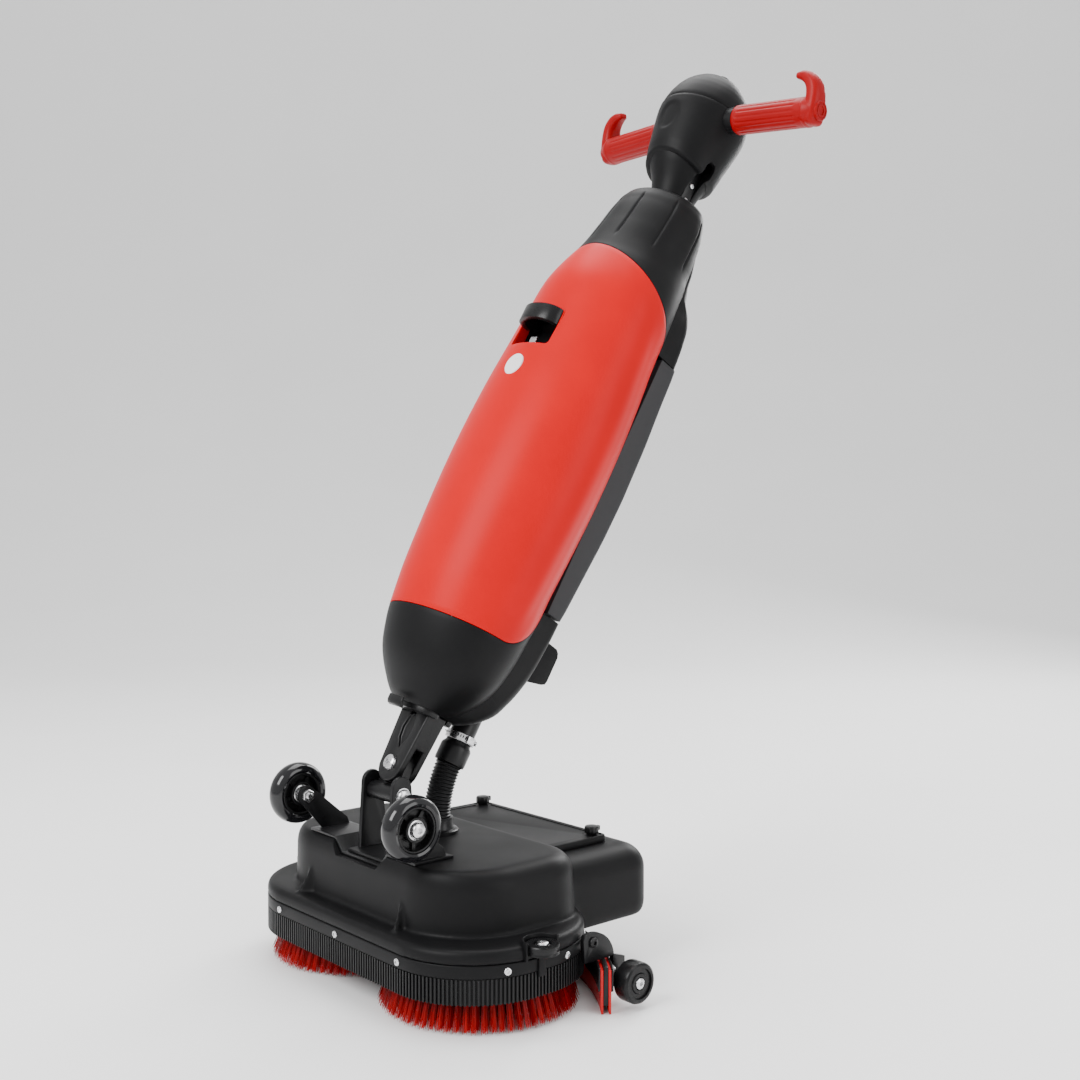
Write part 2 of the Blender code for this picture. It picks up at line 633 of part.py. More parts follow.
def hose_path(share):
    """A point on the hose's run from the deck's socket to the cuff under the body."""
    start, end = Vector(HOSE_FOOT), in_body(HOSE_TOP)
    rise = (end - start).length * 0.9
    leave = Vector((0, 0, rise))
    arrive = (in_body((0, HOSE_TOP[1], 1.0)) - in_body((0, HOSE_TOP[1], 0.0))) * rise
    u = share
    return ((2*u**3 - 3*u**2 + 1) * start + (u**3 - 2*u**2 + u) * leave
            + (3*u**2 - 2*u**3) * end + (u**3 - u**2) * arrive)


def bent_tube(start, end, radius, bore, steps=5, segments=14):
    """A round tube, open at both ends, along a stretch of the hose's path."""
    rings = []
    for size, order in ((radius, range(steps + 1)), (bore, range(steps, -1, -1))):
        for k in order:
            share = start + (end - start) * k / steps
            here = hose_path(share)
            ahead = (hose_path(share + 0.01) - hose_path(share - 0.01)).normalized()
            across = Vector((1, 0, 0))
            across = (across - ahead * across.dot(ahead)).normalized()
            up = ahead.cross(across)
            turns = [2 * math.pi * i / segments for i in range(segments)]
            rings.append([here + across * size * math.cos(a) + up * size * math.sin(a) for a in turns])
    return loft(rings, closed=True)


def suction_hose(frame, swing):
    """The corrugated hose between the deck and the body, with its socket, clamp and cuffed pipe."""
    x, y, _ = HOSE_FOOT
    top = DOME_TOP_Z + GAP
    socket = turned_ring([
        (0.0180, 0.132), (0.0180, top), (0.0245, top), (0.0245, top + 0.004), (0.0195, top + 0.004), (0.0195, 0.186),
        (0.0135, 0.186), (0.0135, 0.132)], 18)
    add("hose_socket", socket, "black_plastic", frame, (x, y, 0))
    add("suction_hose_lower", bent_tube(0.004, 0.495, HOSE_R, 0.0125), "hose", frame)
    add("suction_hose_upper", bent_tube(0.505, 0.996, HOSE_R, 0.0125), "hose", frame)
    _, hy, hz = HOSE_TOP
    clamp = tube(0.0182, 0.0163, 0.0260, 0.0360, 18)
    made = add("hose_clamp", clamp, "steel", swing, (0, hy, hz))
    join(made, box((0.0165, -0.006, 0.0265), (0.0225, 0.006, 0.0355)), swing, (0, hy, hz))
    pipe = turned_ring([
        (0.0185, GAP), (0.0185, 0.022), (0.0160, 0.0245), (0.0160, 0.208), (0.0125, 0.208), (0.0125, GAP)], 16)
    add("suction_pipe", pipe, "hose", swing, (0, hy, hz))


# ---------- squeegee ----------

def squeegee_strip(low_r, high_r, z0, z1, steps=12):
    """A strip bent along the squeegee's curve, between two distances from the curve's middle line."""
    centre_y = SQUEEGEE_REAR_Y - SQUEEGEE_R
    reach = math.degrees(math.asin(SQUEEGEE_TIP[0] / SQUEEGEE_R))
    rings = []
    for k in range(steps + 1):
        a = math.radians(90 - reach + 2 * reach * k / steps)
        ring = []
        for r, z in ((low_r, z0), (low_r, z1), (high_r, z1), (high_r, z0)):
            radius = SQUEEGEE_R + r
            ring.append((radius * math.cos(a), centre_y + radius * math.sin(a), z))
        rings.append(ring)
    return loft(rings)


def squeegee(frame):
    """The curved squeegee: carrier, two blades, and an arm at each end."""
    for name, low_r, high_r, z0, z1, finish in (
            ("squeegee_carrier", -0.0025, 0.0025, 0.010, 0.054, "black_metal"),
            ("squeegee_blade_front", -0.0060, -0.0028, 0.0004, 0.050, "red_rubber"),
            ("squeegee_blade_rear", 0.0028, 0.0060, 0.0004, 0.050, "red_rubber")):
        add(name, squeegee_strip(low_r, high_r, z0, z1), finish, frame)
    y, z = LIFT_AXIS
    outline = (arc_points((0.074, 0.052), 0.035, -5, 105, 6) + [(0.0615, 0.080), (0.0635, 0.0545)])
    lug = [(0.108, 0.056), (0.126, 0.050), (0.1262, 0.022), (0.109, 0.018)]
    for side, name in ((-1, "left"), (1, "right")):
        shape = extruded(outline, *LIFT_ARM_X)
        arm = add(f"squeegee_arm_{name}", shape if side > 0 else mirrored(shape), "black_metal", frame)
        shape = extruded(lug, *LIFT_ARM_X)
        join(arm, shape if side > 0 else mirrored(shape), frame)
        under = box((0.20, 0.04, 0.0), (0.25, 0.1072, 0.0543))
        cut(arm, under if side > 0 else mirrored(under), frame)
        middle = sum(LIFT_ARM_X) / 2
        bore = moved(along_x(turned([(0.0043, -0.01), (0.0043, 0.01)])), (side * middle, y, z))
        cut(arm, bore, frame)
        pin = along_x(turned([
            (0.0065, -0.0085), (0.0065, -0.0033), (0.0040, -0.0031), (0.0040, 0.0033), (0.0070, 0.0035),
            (0.0070, 0.0060), (0.0060, 0.0068)], 10))
        add(f"lift_pin_{name}", pin if side > 0 else mirrored(pin), "steel", frame, (side * middle, y, z))


def squeegee_roller(frame, side, name):
    """The transport roller behind each end of the squeegee, on a stud of the arm."""
    x, y, z = ROLLER_AT
    inner = LIFT_ARM_X[1] - x
    roller = along_x(turned_ring([
        (ROLLER_R - 0.003, -0.0110), (ROLLER_R, -0.0080), (ROLLER_R, 0.0080), (ROLLER_R - 0.003, 0.0110),
        (0.0150, 0.0110), (0.0140, 0.0070), (0.0043, 0.0070), (0.0043, -0.0110)], 20))
    stud = along_x(turned([
        (0.0075, inner - 0.001), (0.0075, -0.0115), (0.0040, -0.0113), (0.0040, 0.0072), (0.0070, 0.0074),
        (0.0070, 0.0100), (0.0050, 0.0115)], 12))
    shape = roller if side > 0 else mirrored(roller)
    add(f"squeegee_roller_{name}", shape, "black_plastic", frame, (side * x, y, z))
    arm = bpy.data.objects[f"squeegee_arm_{name}"]
    join(arm, stud if side > 0 else mirrored(stud), frame, (side * x, y, z))


# ---------- body ----------

def lower_shell(swing):
    """The black boot that closes the body's lower end."""
    columns = half_columns()
    shares = [0.0, 0.06, 0.25, 0.5, 0.75, 1.0]
    bottom = BODY[0, 0]

    def edge(column):
        if abs(column) > SEAM_COLUMNS:
            return low_seam(SEAM_COLUMNS) - 0.001
        return low_seam(column) - 0.001

    def outer(column, share):
        return bottom + (edge(column) - bottom) * share

    def inner(column, share):
        return bottom + SHELL + (edge(column) - bottom - SHELL) * share
    rings = [[section_point(c, outer(c, s), 0.0) for c in columns] for s in shares]
    rings += [[section_point(c, inner(c, s), SHELL) for c in columns] for s in shares[::-1]]
    points, faces = loft(rings)
    shell = add("lower_shell", (points, faces), "black_plastic", swing)
    hy = HOSE_TOP[1]
    cut(shell, turned([(0.0164, -0.02), (0.0164, 0.12)], 20), swing, (0, hy, 0.07))


def recovery_tank(swing):
    """The grey dirty water tank, which is the body's bowed back; open at its top, under the collar."""
    half, step, front, narrow = BACK_HALF_X, 0.0745, 0.046, 0.0525
    wall, corner = 0.003, 0.008
    z0, z1 = BACK_Z

    def ring(inset, z):
        back = float(np.interp(z, *zip(*BACK_BOW)))
        right = [(narrow - inset, front + inset), (narrow - inset, step + inset), (half - inset, step + inset)]
        right += arc_points((half - corner, back - corner), corner - inset, 0, 90, 3)
        return [(x, y, z) for x, y in right] + [(-x, y, z) for x, y in right[::-1]]
    outer = [ring(0, z) for z, _ in BACK_BOW]
    inner = [ring(wall, z) for z in (z1, 0.560, 0.420, 0.300, z0 + wall)]
    add("recovery_tank", loft(outer + inner), "grey_plastic", swing)


def body_inside(swing):
    """What the shells hide: spine, clean water tank and vacuum motor."""
    ring = [rounded_rect(0.020 - t, 0.015 - t, 0.003, z, 3, 0.023)
            for t, z in ((0, 0.0765), (0, 0.862), (0.0025, 0.862), (0.0025, 0.0765))]
    add("spine_tube", loft(ring, closed=True), "steel", swing)
    full = [rounded_rect(0.068 - t, 0.032 - t, 0.018, z, 3, -0.030)
            for t, z in ((0.012, 0.215), (0.0, 0.230), (0.0, 0.505), (0.012, 0.520))]
    add("solution_tank", loft(full), "tank", swing)
    motor = turned([(0.030, 0.0), (0.032, 0.004), (0.032, 0.080), (0.022, 0.090)], 16)
    add("vacuum_motor", motor, "motor", swing,
        (0, -0.028, 0.600))


def front_cover(swing):
    """The red front cover, with the pocket for the latch handle."""
    columns = list(range(-SEAM_COLUMNS, SEAM_COLUMNS + 1))

    def height(column, share):
        low, high = low_seam(column) + GAP, high_seam(column) - 0.001
        return low + (high - low) * share
    cover = add("front_cover", thick_patch(columns, 8, height), "red_plastic", swing)
    half, (z0, z1) = POCKET_HALF_X, POCKET_Z
    cut(cover, box((-half, -0.12, z0), (half, -0.060, z1)), swing)
    inside = SHELL + 0.0026

    # the cup behind the opening, a little larger than it
    back = POCKET_DEPTH_Y
    front = -0.0735
    lip = 0.004
    block = box((-half - lip, front, z0 - lip), (half + lip, back, z1 + lip))
    cup = add("pocket_cup", block, "black_plastic", swing)
    cut(cup, box((-half + 0.001, front - 0.01, z0 + 0.001), (half - 0.001, back - 0.002, z1 - 0.001)), swing)
    z = LATCH_AXIS[1]
    cut(cup, along_x(turned([(0.0028, -0.0382), (0.0028, 0.0382)], 16)), swing, (0, LATCH_AXIS[0], z))
    # the cover bends back at the sides, so the cup follows it
    columns = range(-5, 6)
    room = thick_patch(list(columns), 4, lambda c, s: 0.50 + 0.12 * s, inside)
    cut(cup, room, swing)


def latch_handle(swing):
    """The black bow handle over the pocket, which turns on a stub at each side of the cup."""
    pin_y, z = LATCH_AXIS
    half = POCKET_HALF_X - 0.0016
    bow = [(-half, -0.074), (-half + 0.001, -0.0885), (-0.026, -0.0965), (-0.010, -0.1005), (0.010, -0.1005),
           (0.026, -0.0965), (half - 0.001, -0.0885), (half, -0.074), (half - 0.006, -0.074),
           (half - 0.008, -0.0850), (0.022, -0.0905), (0.008, -0.0935), (-0.008, -0.0935), (-0.022, -0.0905),
           (-half + 0.008, -0.0850), (-half + 0.006, -0.074)]
    handle = add("latch_handle", extruded(bow, z - 0.0105, z + 0.0105, axis=2), "black_plastic", swing)
    for side in (-1, 1):
        low, high = sorted((side * half, side * (half - 0.006)))
        ear_r = 0.0075
        round_end = arc_points((pin_y, z), ear_r, -90, 90, 8)
        ear = extruded(round_end + [(-0.0755, z + ear_r), (-0.0755, z - ear_r)], low, high)
        join(handle, ear, swing)
        low, high = sorted((side * (half - 0.003), side * (half + 0.0030)))
        join(handle, along_x(turned([(0.0025, low), (0.0025, high)], 16)), swing, (0, pin_y, z))


def collar(swing):
    """The black upper shell: wraps the cover's arched top, and closes round the neck."""
    shares = [0.0, 0.16, 0.36, 0.6, 0.8, 0.94, 1.0]
    top = BODY[-1, 0]
    columns = half_columns()

    def edge(column):
        if abs(column) > SEAM_COLUMNS:
            return BACK_Z[1] + 0.001
        return high_seam(column)

    def outer(column, share):
        return edge(column) + (top - edge(column)) * share

    def inner(column, share):
        return edge(column) + (top - 0.003 - edge(column)) * share
    rings = [[section_point(c, outer(c, s), 0.0) for c in columns] for s in shares]
    rings += [[section_point(c, inner(c, s), SHELL) for c in columns] for s in shares[::-1]]
    add("collar", loft(rings, closed=True), "black_plastic", swing)


def head(swing):
    """Neck, head housing, and the cap with its control panel and buttons."""
    neck = [(0.0215, 0.820), (0.0275, 0.8205), (0.0290, 0.835), (0.0335, 0.850), (0.0405, 0.8672)]
    rings = [circle(r, 18, z, (0, 0.0245 - (z - 0.834) * 0.12)) for r, z in neck]
    add("neck", loft(rings), "black_plastic", swing)
    piece = bpy.data.objects["neck"]
    cut(piece, loft([rounded_rect(0.0206, 0.0156, 0.003, z, 3, 0.023) for z in (0.80, 0.90)]), swing)
    steps = 22

    def ring(radius, z):
        return circle(radius, steps, z, (0, HEAD_Y))
    wall = 0.004
    outer = [ring(r, z) for z, r in HEAD]
    inner = [ring(r - wall, z) for z, r in HEAD[1:]][::-1]
    housing = add("head_housing", loft(outer + inner), "black_plastic", swing)
    bar_room = along_x(turned([(BAR_R + 0.0012, -0.08), (BAR_R + 0.0012, 0.08)], 20))
    cut(housing, bar_room, swing, (0, BAR_Y, BAR_Z))
    cap_outer = [ring(r, z) for z, r in CAP]
    cap_inner = [ring(r - wall, z) for z, r in CAP[:-1]][::-1]
    cap = add("head_cap", cup_down(cap_outer, cap_inner), "black_plastic", swing)
    cut(cap, bar_room, swing, (0, BAR_Y, BAR_Z))
    top = CAP[-1][0]
    panel = loft([rounded_rect(0.0205 - t, 0.0165 - t, 0.010 - t, z, 4, HEAD_Y)
                  for t, z in ((0, top - 0.002), (0, top + 0.0025), (0.001, top + 0.0035))])
    join(cap, panel, swing)
    for side, name in ((-1, "left"), (1, "right")):
        well = turned([(0.0056, 0.0004), (0.0056, 0.01)])
        cut(cap, well, swing, (side * 0.009, HEAD_Y, top))
        key = turned([(0.0050, 0.0), (0.0050, 0.0036), (0.0042, 0.0044)])
        add(f"button_{name}", key, "red_plastic" if side > 0 else "tank", swing,
            (side * 0.009, HEAD_Y, top + 0.0026))


def cup_down(outer, inner):
    """A closed skin over outer rings going up and back down the inner ones, open below."""
    count = len(outer[0])
    points = [p for ring in outer + inner for p in ring]
    faces = []
    total = len(outer) + len(inner)
    for k in range(total - 1):
        if k == len(outer) - 1:
            continue
        here, there = k * count, (k + 1) * count
        for i in range(count):
            j = (i + 1) % count
            faces.append((here + i, here + j, there + j, there + i))
    last_outer = (len(outer) - 1) * count
    first_inner = len(outer) * count
    end = (total - 1) * count
    faces.append(tuple(range(last_outer, last_outer + count)))
    faces.append(tuple(reversed(range(first_inner, first_inner + count))))
    for i in range(count):
        j = (i + 1) % count
        faces.append((end + i, end + j, j, i))
    return points, faces


def handlebar(swing):
    """The tube through the head, swept back at each end, and a grip with a hook on each end."""
    bend = 0.061
    reach = GRIP_FROM - bend + GRIP_LENGTH - 0.004
    back = math.sin(GRIP_SWEEP)
    across = math.cos(GRIP_SWEEP)
    right = [(bend - 0.003, 0.0), (bend, 0.0003), (bend + 0.005 * across, 0.0003 + 0.005 * back),
             (bend + reach * across, 0.0003 + reach * back)]
    path = [(-x, y) for x, y in reversed(right)] + right
    curve = bpy.data.curves.new("handlebar_tube", "CURVE")
    curve.dimensions = "3D"
    curve.bevel_depth = BAR_R
    curve.bevel_resolution = 3
    curve.use_fill_caps = True
    curve.materials.append(material("black_metal"))
    spline = curve.splines.new("POLY")
    spline.points.add(len(path) - 1)
    for point, (x, y) in zip(spline.points, path):
        point.co = (x, y, 0.0, 1.0)
    bar = bpy.data.objects.new("handlebar_tube", curve)
    bar.parent = swing
    bar.location = (0, BAR_Y, BAR_Z)
    bpy.context.scene.collection.objects.link(bar)
    for side, name in ((-1, "left"), (1, "right")):
        grip(swing, side, name, bend)


def grip(swing, side, name, bend):
    """A grip, bored for the tube, whose hook stands upright in the world and curls inwards at the outer end."""
    start = GRIP_FROM - bend
    end = start + GRIP_LENGTH
    sleeve = along_x(turned([(GRIP_R - 0.002, start), (GRIP_R, start + 0.002), (GRIP_R, end)], 16))
    bore = along_x(turned([(BAR_R + 0.0006, start - 0.02), (BAR_R + 0.0006, end - 0.002)], 16))
    face = start + GRIP_LENGTH
    hook = ([(face - 0.004, -0.0185), (face + 0.012, -0.0195), (face + 0.0185, -0.0110), (face + 0.0200, 0.0060),
             (face + 0.0185, 0.0260), (face + 0.0120, 0.0420), (face, 0.0510), (face - 0.0140, 0.0525),
             (face - 0.0210, 0.0495), (face - 0.0195, 0.0440), (face - 0.0095, 0.0420), (face - 0.0015, 0.0330),
             (face - 0.0010, 0.0180)])
    plate = extruded([(x, z) for x, z in hook], -0.0125, 0.0125, axis=1)
    turn = (LEAN, 0, GRIP_SWEEP if side > 0 else -GRIP_SWEEP)
    at = (side * bend, BAR_Y + 0.0003, BAR_Z)
    shapes = [s if side > 0 else mirrored(s) for s in (sleeve, plate, bore)]
    made = add(f"grip_{name}", shapes[0], "red_plastic", swing, at, turn)
    join(made, shapes[1], swing, at, turn)
    cut(made, shapes[2], swing, at, turn)


def rear_block(swing):
    """The block behind the boot that the machine leans on when it is parked."""
    block = extruded([(0.1040, 0.160), (0.1340, 0.1675), (0.1400, 0.172), (0.1405, 0.211), (0.1370, 0.2165),
                      (0.1042, 0.2200)], -0.036, 0.036)
    add("rear_block", block, "black_plastic", swing)


def build():
    clear_scene()
    frame = empty("frame_origin", None, (0, ORIGIN_Y, 0))
    tilt = empty("tilt_axis", frame, TILT_PIN, (-LEAN, 0, 0))
    offset = Vector(SWING_BOLT) - Vector(TILT_PIN)
    along = Vector((0, offset.y * math.cos(LEAN) - offset.z * math.sin(LEAN),
                    offset.y * math.sin(LEAN) + offset.z * math.cos(LEAN)))
    swing = empty("swing_axis", tilt, along, (0, SWING, 0))
    deck(frame)
    knobs(frame)
    wheel_bracket(frame)
    pivot_bracket(frame)
    for side, name in ((-1, "left"), (1, "right")):
        brush(frame, side, name)
        bumper(frame, side, name)
        wheel(frame, side, name)
    squeegee(frame)
    for side, name in ((-1, "left"), (1, "right")):
        squeegee_roller(frame, side, name)
    knuckle(tilt, swing)
    body_bracket(swing)
    suction_hose(frame, swing)
    lower_shell(swing)
    recovery_tank(swing)
    body_inside(swing)
    front_cover(swing)
    latch_handle(swing)
    collar(swing)
    rear_block(swing)
    head(swing)
    handlebar(swing)


build()
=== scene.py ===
"""Looks of an upright wet dry floor scrubber, built round its packed CAD frame.

Lengths are metres. Body pieces are laid out in the body's own frame, X across, Y to its rear and Z along it,
from the swing bolt; deck pieces are laid out from the floor midway between the two brushes.
"""

import json
import math
import random

import bpy
import numpy as np
from mathutils import Euler, Matrix, Vector


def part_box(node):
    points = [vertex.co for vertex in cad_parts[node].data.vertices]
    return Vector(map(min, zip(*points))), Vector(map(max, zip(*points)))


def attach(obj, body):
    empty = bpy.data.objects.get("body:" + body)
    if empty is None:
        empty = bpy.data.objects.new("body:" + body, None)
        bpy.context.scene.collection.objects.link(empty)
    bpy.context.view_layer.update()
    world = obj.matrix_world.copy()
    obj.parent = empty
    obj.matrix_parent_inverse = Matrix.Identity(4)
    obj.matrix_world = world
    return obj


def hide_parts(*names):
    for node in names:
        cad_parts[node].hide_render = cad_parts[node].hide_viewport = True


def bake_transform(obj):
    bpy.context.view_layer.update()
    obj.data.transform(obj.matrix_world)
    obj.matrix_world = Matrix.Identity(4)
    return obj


bl_info = {
    "name": "Floor Scrubber",
    "version": (1, 0, 0),
    "blender": (4, 5, 0),
    "location": "View3D > Sidebar > Scrubber",
    "description": "Builds the finished surfaces of an upright floor scrubber on its CAD frame",
    "category": "Add Mesh",
}

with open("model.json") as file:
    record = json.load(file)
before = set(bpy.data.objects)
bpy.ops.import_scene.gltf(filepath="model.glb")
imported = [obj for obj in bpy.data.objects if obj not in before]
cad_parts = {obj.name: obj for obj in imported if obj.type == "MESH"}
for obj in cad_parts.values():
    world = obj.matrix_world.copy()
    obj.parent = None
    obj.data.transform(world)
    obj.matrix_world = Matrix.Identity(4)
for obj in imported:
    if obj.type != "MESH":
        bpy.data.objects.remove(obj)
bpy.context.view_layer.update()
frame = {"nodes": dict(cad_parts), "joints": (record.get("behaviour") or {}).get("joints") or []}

# ---------- places that come from the frame ----------

JOINTS = {joint["name"]: joint for joint in frame["joints"]}
BRUSH_X, DECK_Y = JOINTS["brush_spin_right"]["pos_m"][:2]
WHEEL_AT = Vector(JOINTS["wheel_spin_right"]["pos_m"])
BUMPER_AT = Vector(JOINTS["bumper_spin_right"]["pos_m"])
ROLLER_AT = Vector(JOINTS["roller_spin_right"]["pos_m"])
LIFT_AT = Vector(JOINTS["squeegee_lift"]["pos_m"])
KNOB_AT = Vector(JOINTS["knob_turn_right"]["pos_m"])
TILT_AT = Vector(JOINTS["deck_tilt"]["pos_m"])
SWING_AT = Vector(JOINTS["body_swing"]["pos_m"])
REARWARD = Vector(JOINTS["body_swing"]["axis"]).normalized()
UPWARD = -Vector(JOINTS["button_press_left"]["axis"]).normalized()
ACROSS = REARWARD.cross(UPWARD)
LEAN = math.asin(-REARWARD.z)
BODY = Matrix.Translation(SWING_AT) @ Matrix((ACROSS, REARWARD, UPWARD)).transposed().to_4x4()
DECK = Matrix.Translation((0, DECK_Y, 0))
SIDES = ((-1, "left"), (1, "right"))

# ---------- sizes ----------

SKIRT_HALF = (0.232, 0.1195)
SKIRT_CORNER = 0.108
SKIRT_Z = (0.036, 0.064, 0.079)
RIM_TOP_Z = 0.0955
DOME_HALF = (0.194, 0.093)
DOME_REAR_Y = 0.112
DOME_TOP_Z = 0.1665
POD_HALF_X = 0.162
POD_REAR_Y = 0.244
BATTERY_COVER = (0.122, 0.092, 0.201)
HEAD_Y = 0.018
BAR_AT = (0.0164, 0.947)
BAR_R = 0.0118
GRIP_R = 0.0192
GRIP_SWEEP = math.radians(5)
GRIP_BEND_X = 0.061
GRIP_START = 0.009
GRIP_LENGTH = 0.112
SQUEEGEE_R = 0.392
SQUEEGEE_REAR_Y = 0.165
SQUEEGEE_REACH = math.asin(0.250 / SQUEEGEE_R)
SHELL = 0.0035
POCKET = (0.036, 0.534, 0.586)
GAP = 0.0003
RIB_PITCH = 0.0048
RIB_RECESS = 0.0022
SKIRT_WALL = 0.004
TUFT_TOP_Z = 0.0425
TUFT_PITCH = 0.0088
TUFT_FILAMENTS = 13
FILAMENT_R = 0.00042
GOLDEN_TURN = 2.4
COVER_VOXEL = 0.0021
COVER_FILLET_PASSES = 7
COVER_KEPT_SHARE = 0.35

# Body outline: height, half width, centre, front depth, rear depth, back half width, back depth, corner
OUTLINE = np.array([
    [0.072, 0.040, 0.000, 0.0220, 0.0340, 0.034, 0.0480, 0.020],
    [0.077, 0.047, 0.000, 0.0280, 0.0440, 0.038, 0.0590, 0.024],
    [0.097, 0.067, 0.000, 0.0440, 0.0600, 0.046, 0.0850, 0.026],
    [0.124, 0.085, 0.000, 0.0610, 0.0720, 0.054, 0.0960, 0.025],
    [0.154, 0.094, 0.000, 0.0720, 0.0780, 0.060, 0.1010, 0.022],
    [0.208, 0.101, 0.000, 0.0820, 0.0820, 0.062, 0.1030, 0.014],
    [0.280, 0.106, 0.000, 0.0880, 0.0860, 0.062, 0.1030, 0.010],
    [0.386, 0.111, 0.000, 0.0915, 0.0890, 0.062, 0.1030, 0.010],
    [0.480, 0.109, 0.000, 0.0900, 0.0890, 0.062, 0.1040, 0.010],
    [0.560, 0.102, 0.000, 0.0855, 0.0870, 0.062, 0.1055, 0.010],
    [0.600, 0.099, 0.000, 0.0830, 0.0835, 0.061, 0.1060, 0.011],
    [0.650, 0.093, 0.004, 0.0830, 0.0800, 0.060, 0.1035, 0.012],
    [0.672, 0.0885, 0.007, 0.0795, 0.0775, 0.057, 0.1030, 0.014],
    [0.690, 0.084, 0.0095, 0.0755, 0.0760, 0.052, 0.1000, 0.016],
    [0.704, 0.080, 0.012, 0.0725, 0.0750, 0.050, 0.0905, 0.018],
    [0.716, 0.077, 0.0135, 0.0705, 0.0725, 0.047, 0.0870, 0.019],
    [0.750, 0.073, 0.018, 0.0670, 0.0655, 0.042, 0.0830, 0.0195],
    [0.788, 0.068, 0.024, 0.0650, 0.0525, 0.035, 0.0740, 0.020],
    [0.804, 0.063, 0.025, 0.0605, 0.0465, 0.032, 0.0670, 0.020],
    [0.814, 0.056, 0.026, 0.0530, 0.0400, 0.028, 0.0610, 0.018],
    [0.819, 0.044, 0.026, 0.0405, 0.0320, 0.022, 0.0530, 0.016],
])
FRONT, SIDE, CORNER, BACK = 24, 12, 5, 5  # columns of half a body section
SEAM = FRONT + SIDE


# ---------- plain shapes: (points, faces) ----------

def loft(rings, closed=False):
    """A skin through equal rings, with end caps, or closed on itself."""
    count = len(rings[0])
    points = [tuple(p) for ring in rings for p in ring]
    faces = []
    for k in range(len(rings) if closed else len(rings) - 1):
        here, there = k * count, (k + 1) % len(rings) * count
        for i in range(count):
            j = (i + 1) % count
            faces.append((here + i, here + j, there + j, there + i))
    if not closed:
        last = (len(rings) - 1) * count
        faces.append(tuple(reversed(range(count))))
        faces.append(tuple(range(last, last + count)))
    return points, faces


def circle(radius, segments, z=0.0, centre=(0.0, 0.0)):
    turns = [2 * math.pi * i / segments for i in range(segments)]
    return [(centre[0] + radius * math.cos(a), centre[1] + radius * math.sin(a), z) for a in turns]


def turned(profile, segments=48):
    """A solid turned round Z from (radius, height) steps, bottom to top."""
    return loft([circle(radius, segments, z) for radius, z in profile])


def turned_ring(profile, segments=64):
    """A ring turned round Z: up its outer side, then down its bore."""
    return loft([circle(radius, segments, z) for radius, z in profile], closed=True)


def box(low, high):
    points = [(x, y, z) for z in (low[2], high[2]) for y in (low[1], high[1]) for x in (low[0], high[0])]
    return points, [(0, 2, 3, 1), (4, 5, 7, 6), (0, 1, 5, 4), (2, 6, 7, 3), (0, 4, 6, 2), (1, 3, 7, 5)]


def rounded_rect(half_x, half_y, corner, z, steps=24, centre_y=0.0):
    """A rectangle with round corners, anticlockwise seen from above."""
    ring = []
    for quarter, (sx, sy) in enumerate(((1, 1), (-1, 1), (-1, -1), (1, -1))):
        for k in range(steps + 1):
            a = math.radians(90 * (quarter + k / steps))
            x = sx * (half_x - corner) + corner * math.cos(a)
            y = sy * (half_y - corner) + corner * math.sin(a)
            ring.append((x, centre_y + y, z))
    return ring


def extruded(outline, low, high, axis=0):
    """A flat outline of two coordinates pulled along one axis."""
    def at(point, height):
        rest = list(point)
        rest.insert(axis, height)
        return tuple(rest)
    area = sum(a[0] * b[1] - b[0] * a[1] for a, b in zip(outline, outline[1:] + outline[:1]))
    ring = outline if area * (1 if axis != 1 else -1) > 0 else outline[::-1]
    return loft([[at(p, low) for p in ring], [at(p, high) for p in ring]])


def arc(centre, radius, start, end, steps=16):
    """Points on an arc, with its angles in degrees."""
    angles = [math.radians(start + (end - start) * k / steps) for k in range(steps + 1)]
    return [(centre[0] + radius * math.cos(a), centre[1] + radius * math.sin(a)) for a in angles]


def placed(shape, matrix):
    points, faces = shape
    moved = [tuple(matrix @ Vector(p)) for p in points]
    if matrix.determinant() < 0:
        faces = [tuple(reversed(f)) for f in faces]
    return moved, faces


def shifted(shape, x=0.0, y=0.0, z=0.0):
    return placed(shape, Matrix.Translation((x, y, z)))


def mirrored(shape):
    return placed(shape, Matrix.Scale(-1, 4, (1, 0, 0)))


def sided(shape, side):
    return shape if side > 0 else mirrored(shape)


def along_x(shape):
    return placed(shape, Matrix.Rotation(math.radians(90), 4, "Y"))


def along_y(shape):
    return placed(shape, Matrix.Rotation(math.radians(-90), 4, "X"))


def together(*shapes):
    """Several closed shapes as one."""
    points, faces = [], []
    for more, loops in shapes:
        start = len(points)
        points += more
        faces += [tuple(start + i for i in loop) for loop in loops]
    return points, faces


def smoothstep(low, high, value):
    u = min(max((value - low) / (high - low), 0.0), 1.0)
    return u * u * (3 - 2 * u)


# ---------- objects ----------

def piece(name, shape, matrix=None):
    """A new mesh object with its place in its mesh."""
    points, faces = placed(shape, matrix) if matrix else shape
    mesh = bpy.data.meshes.new(name)
    mesh.from_pydata(points, [], faces)
    mesh.validate()
    made = bpy.data.objects.new(name, mesh)
    bpy.context.scene.collection.objects.link(made)
    return made


def shaped_by(target, shape, operation, matrix=None, solver="EXACT"):
    """A Boolean with a helper shape that goes when the piece is finished."""
    helper = piece(f"helper_{target.name}", shape, matrix)
    helper.hide_render = True
    modifier = target.modifiers.new(operation.lower(), "BOOLEAN")
    modifier.operation = operation
    modifier.solver = solver
    modifier.object = helper
    target["helpers"] = list(target.get("helpers", [])) + [helper.name]
    return target


def cut(target, shape, matrix=None, solver="EXACT"):
    return shaped_by(target, shape, "DIFFERENCE", matrix, solver)


def join(target, shape, matrix=None, solver="EXACT"):
    return shaped_by(target, shape, "UNION", matrix, solver)


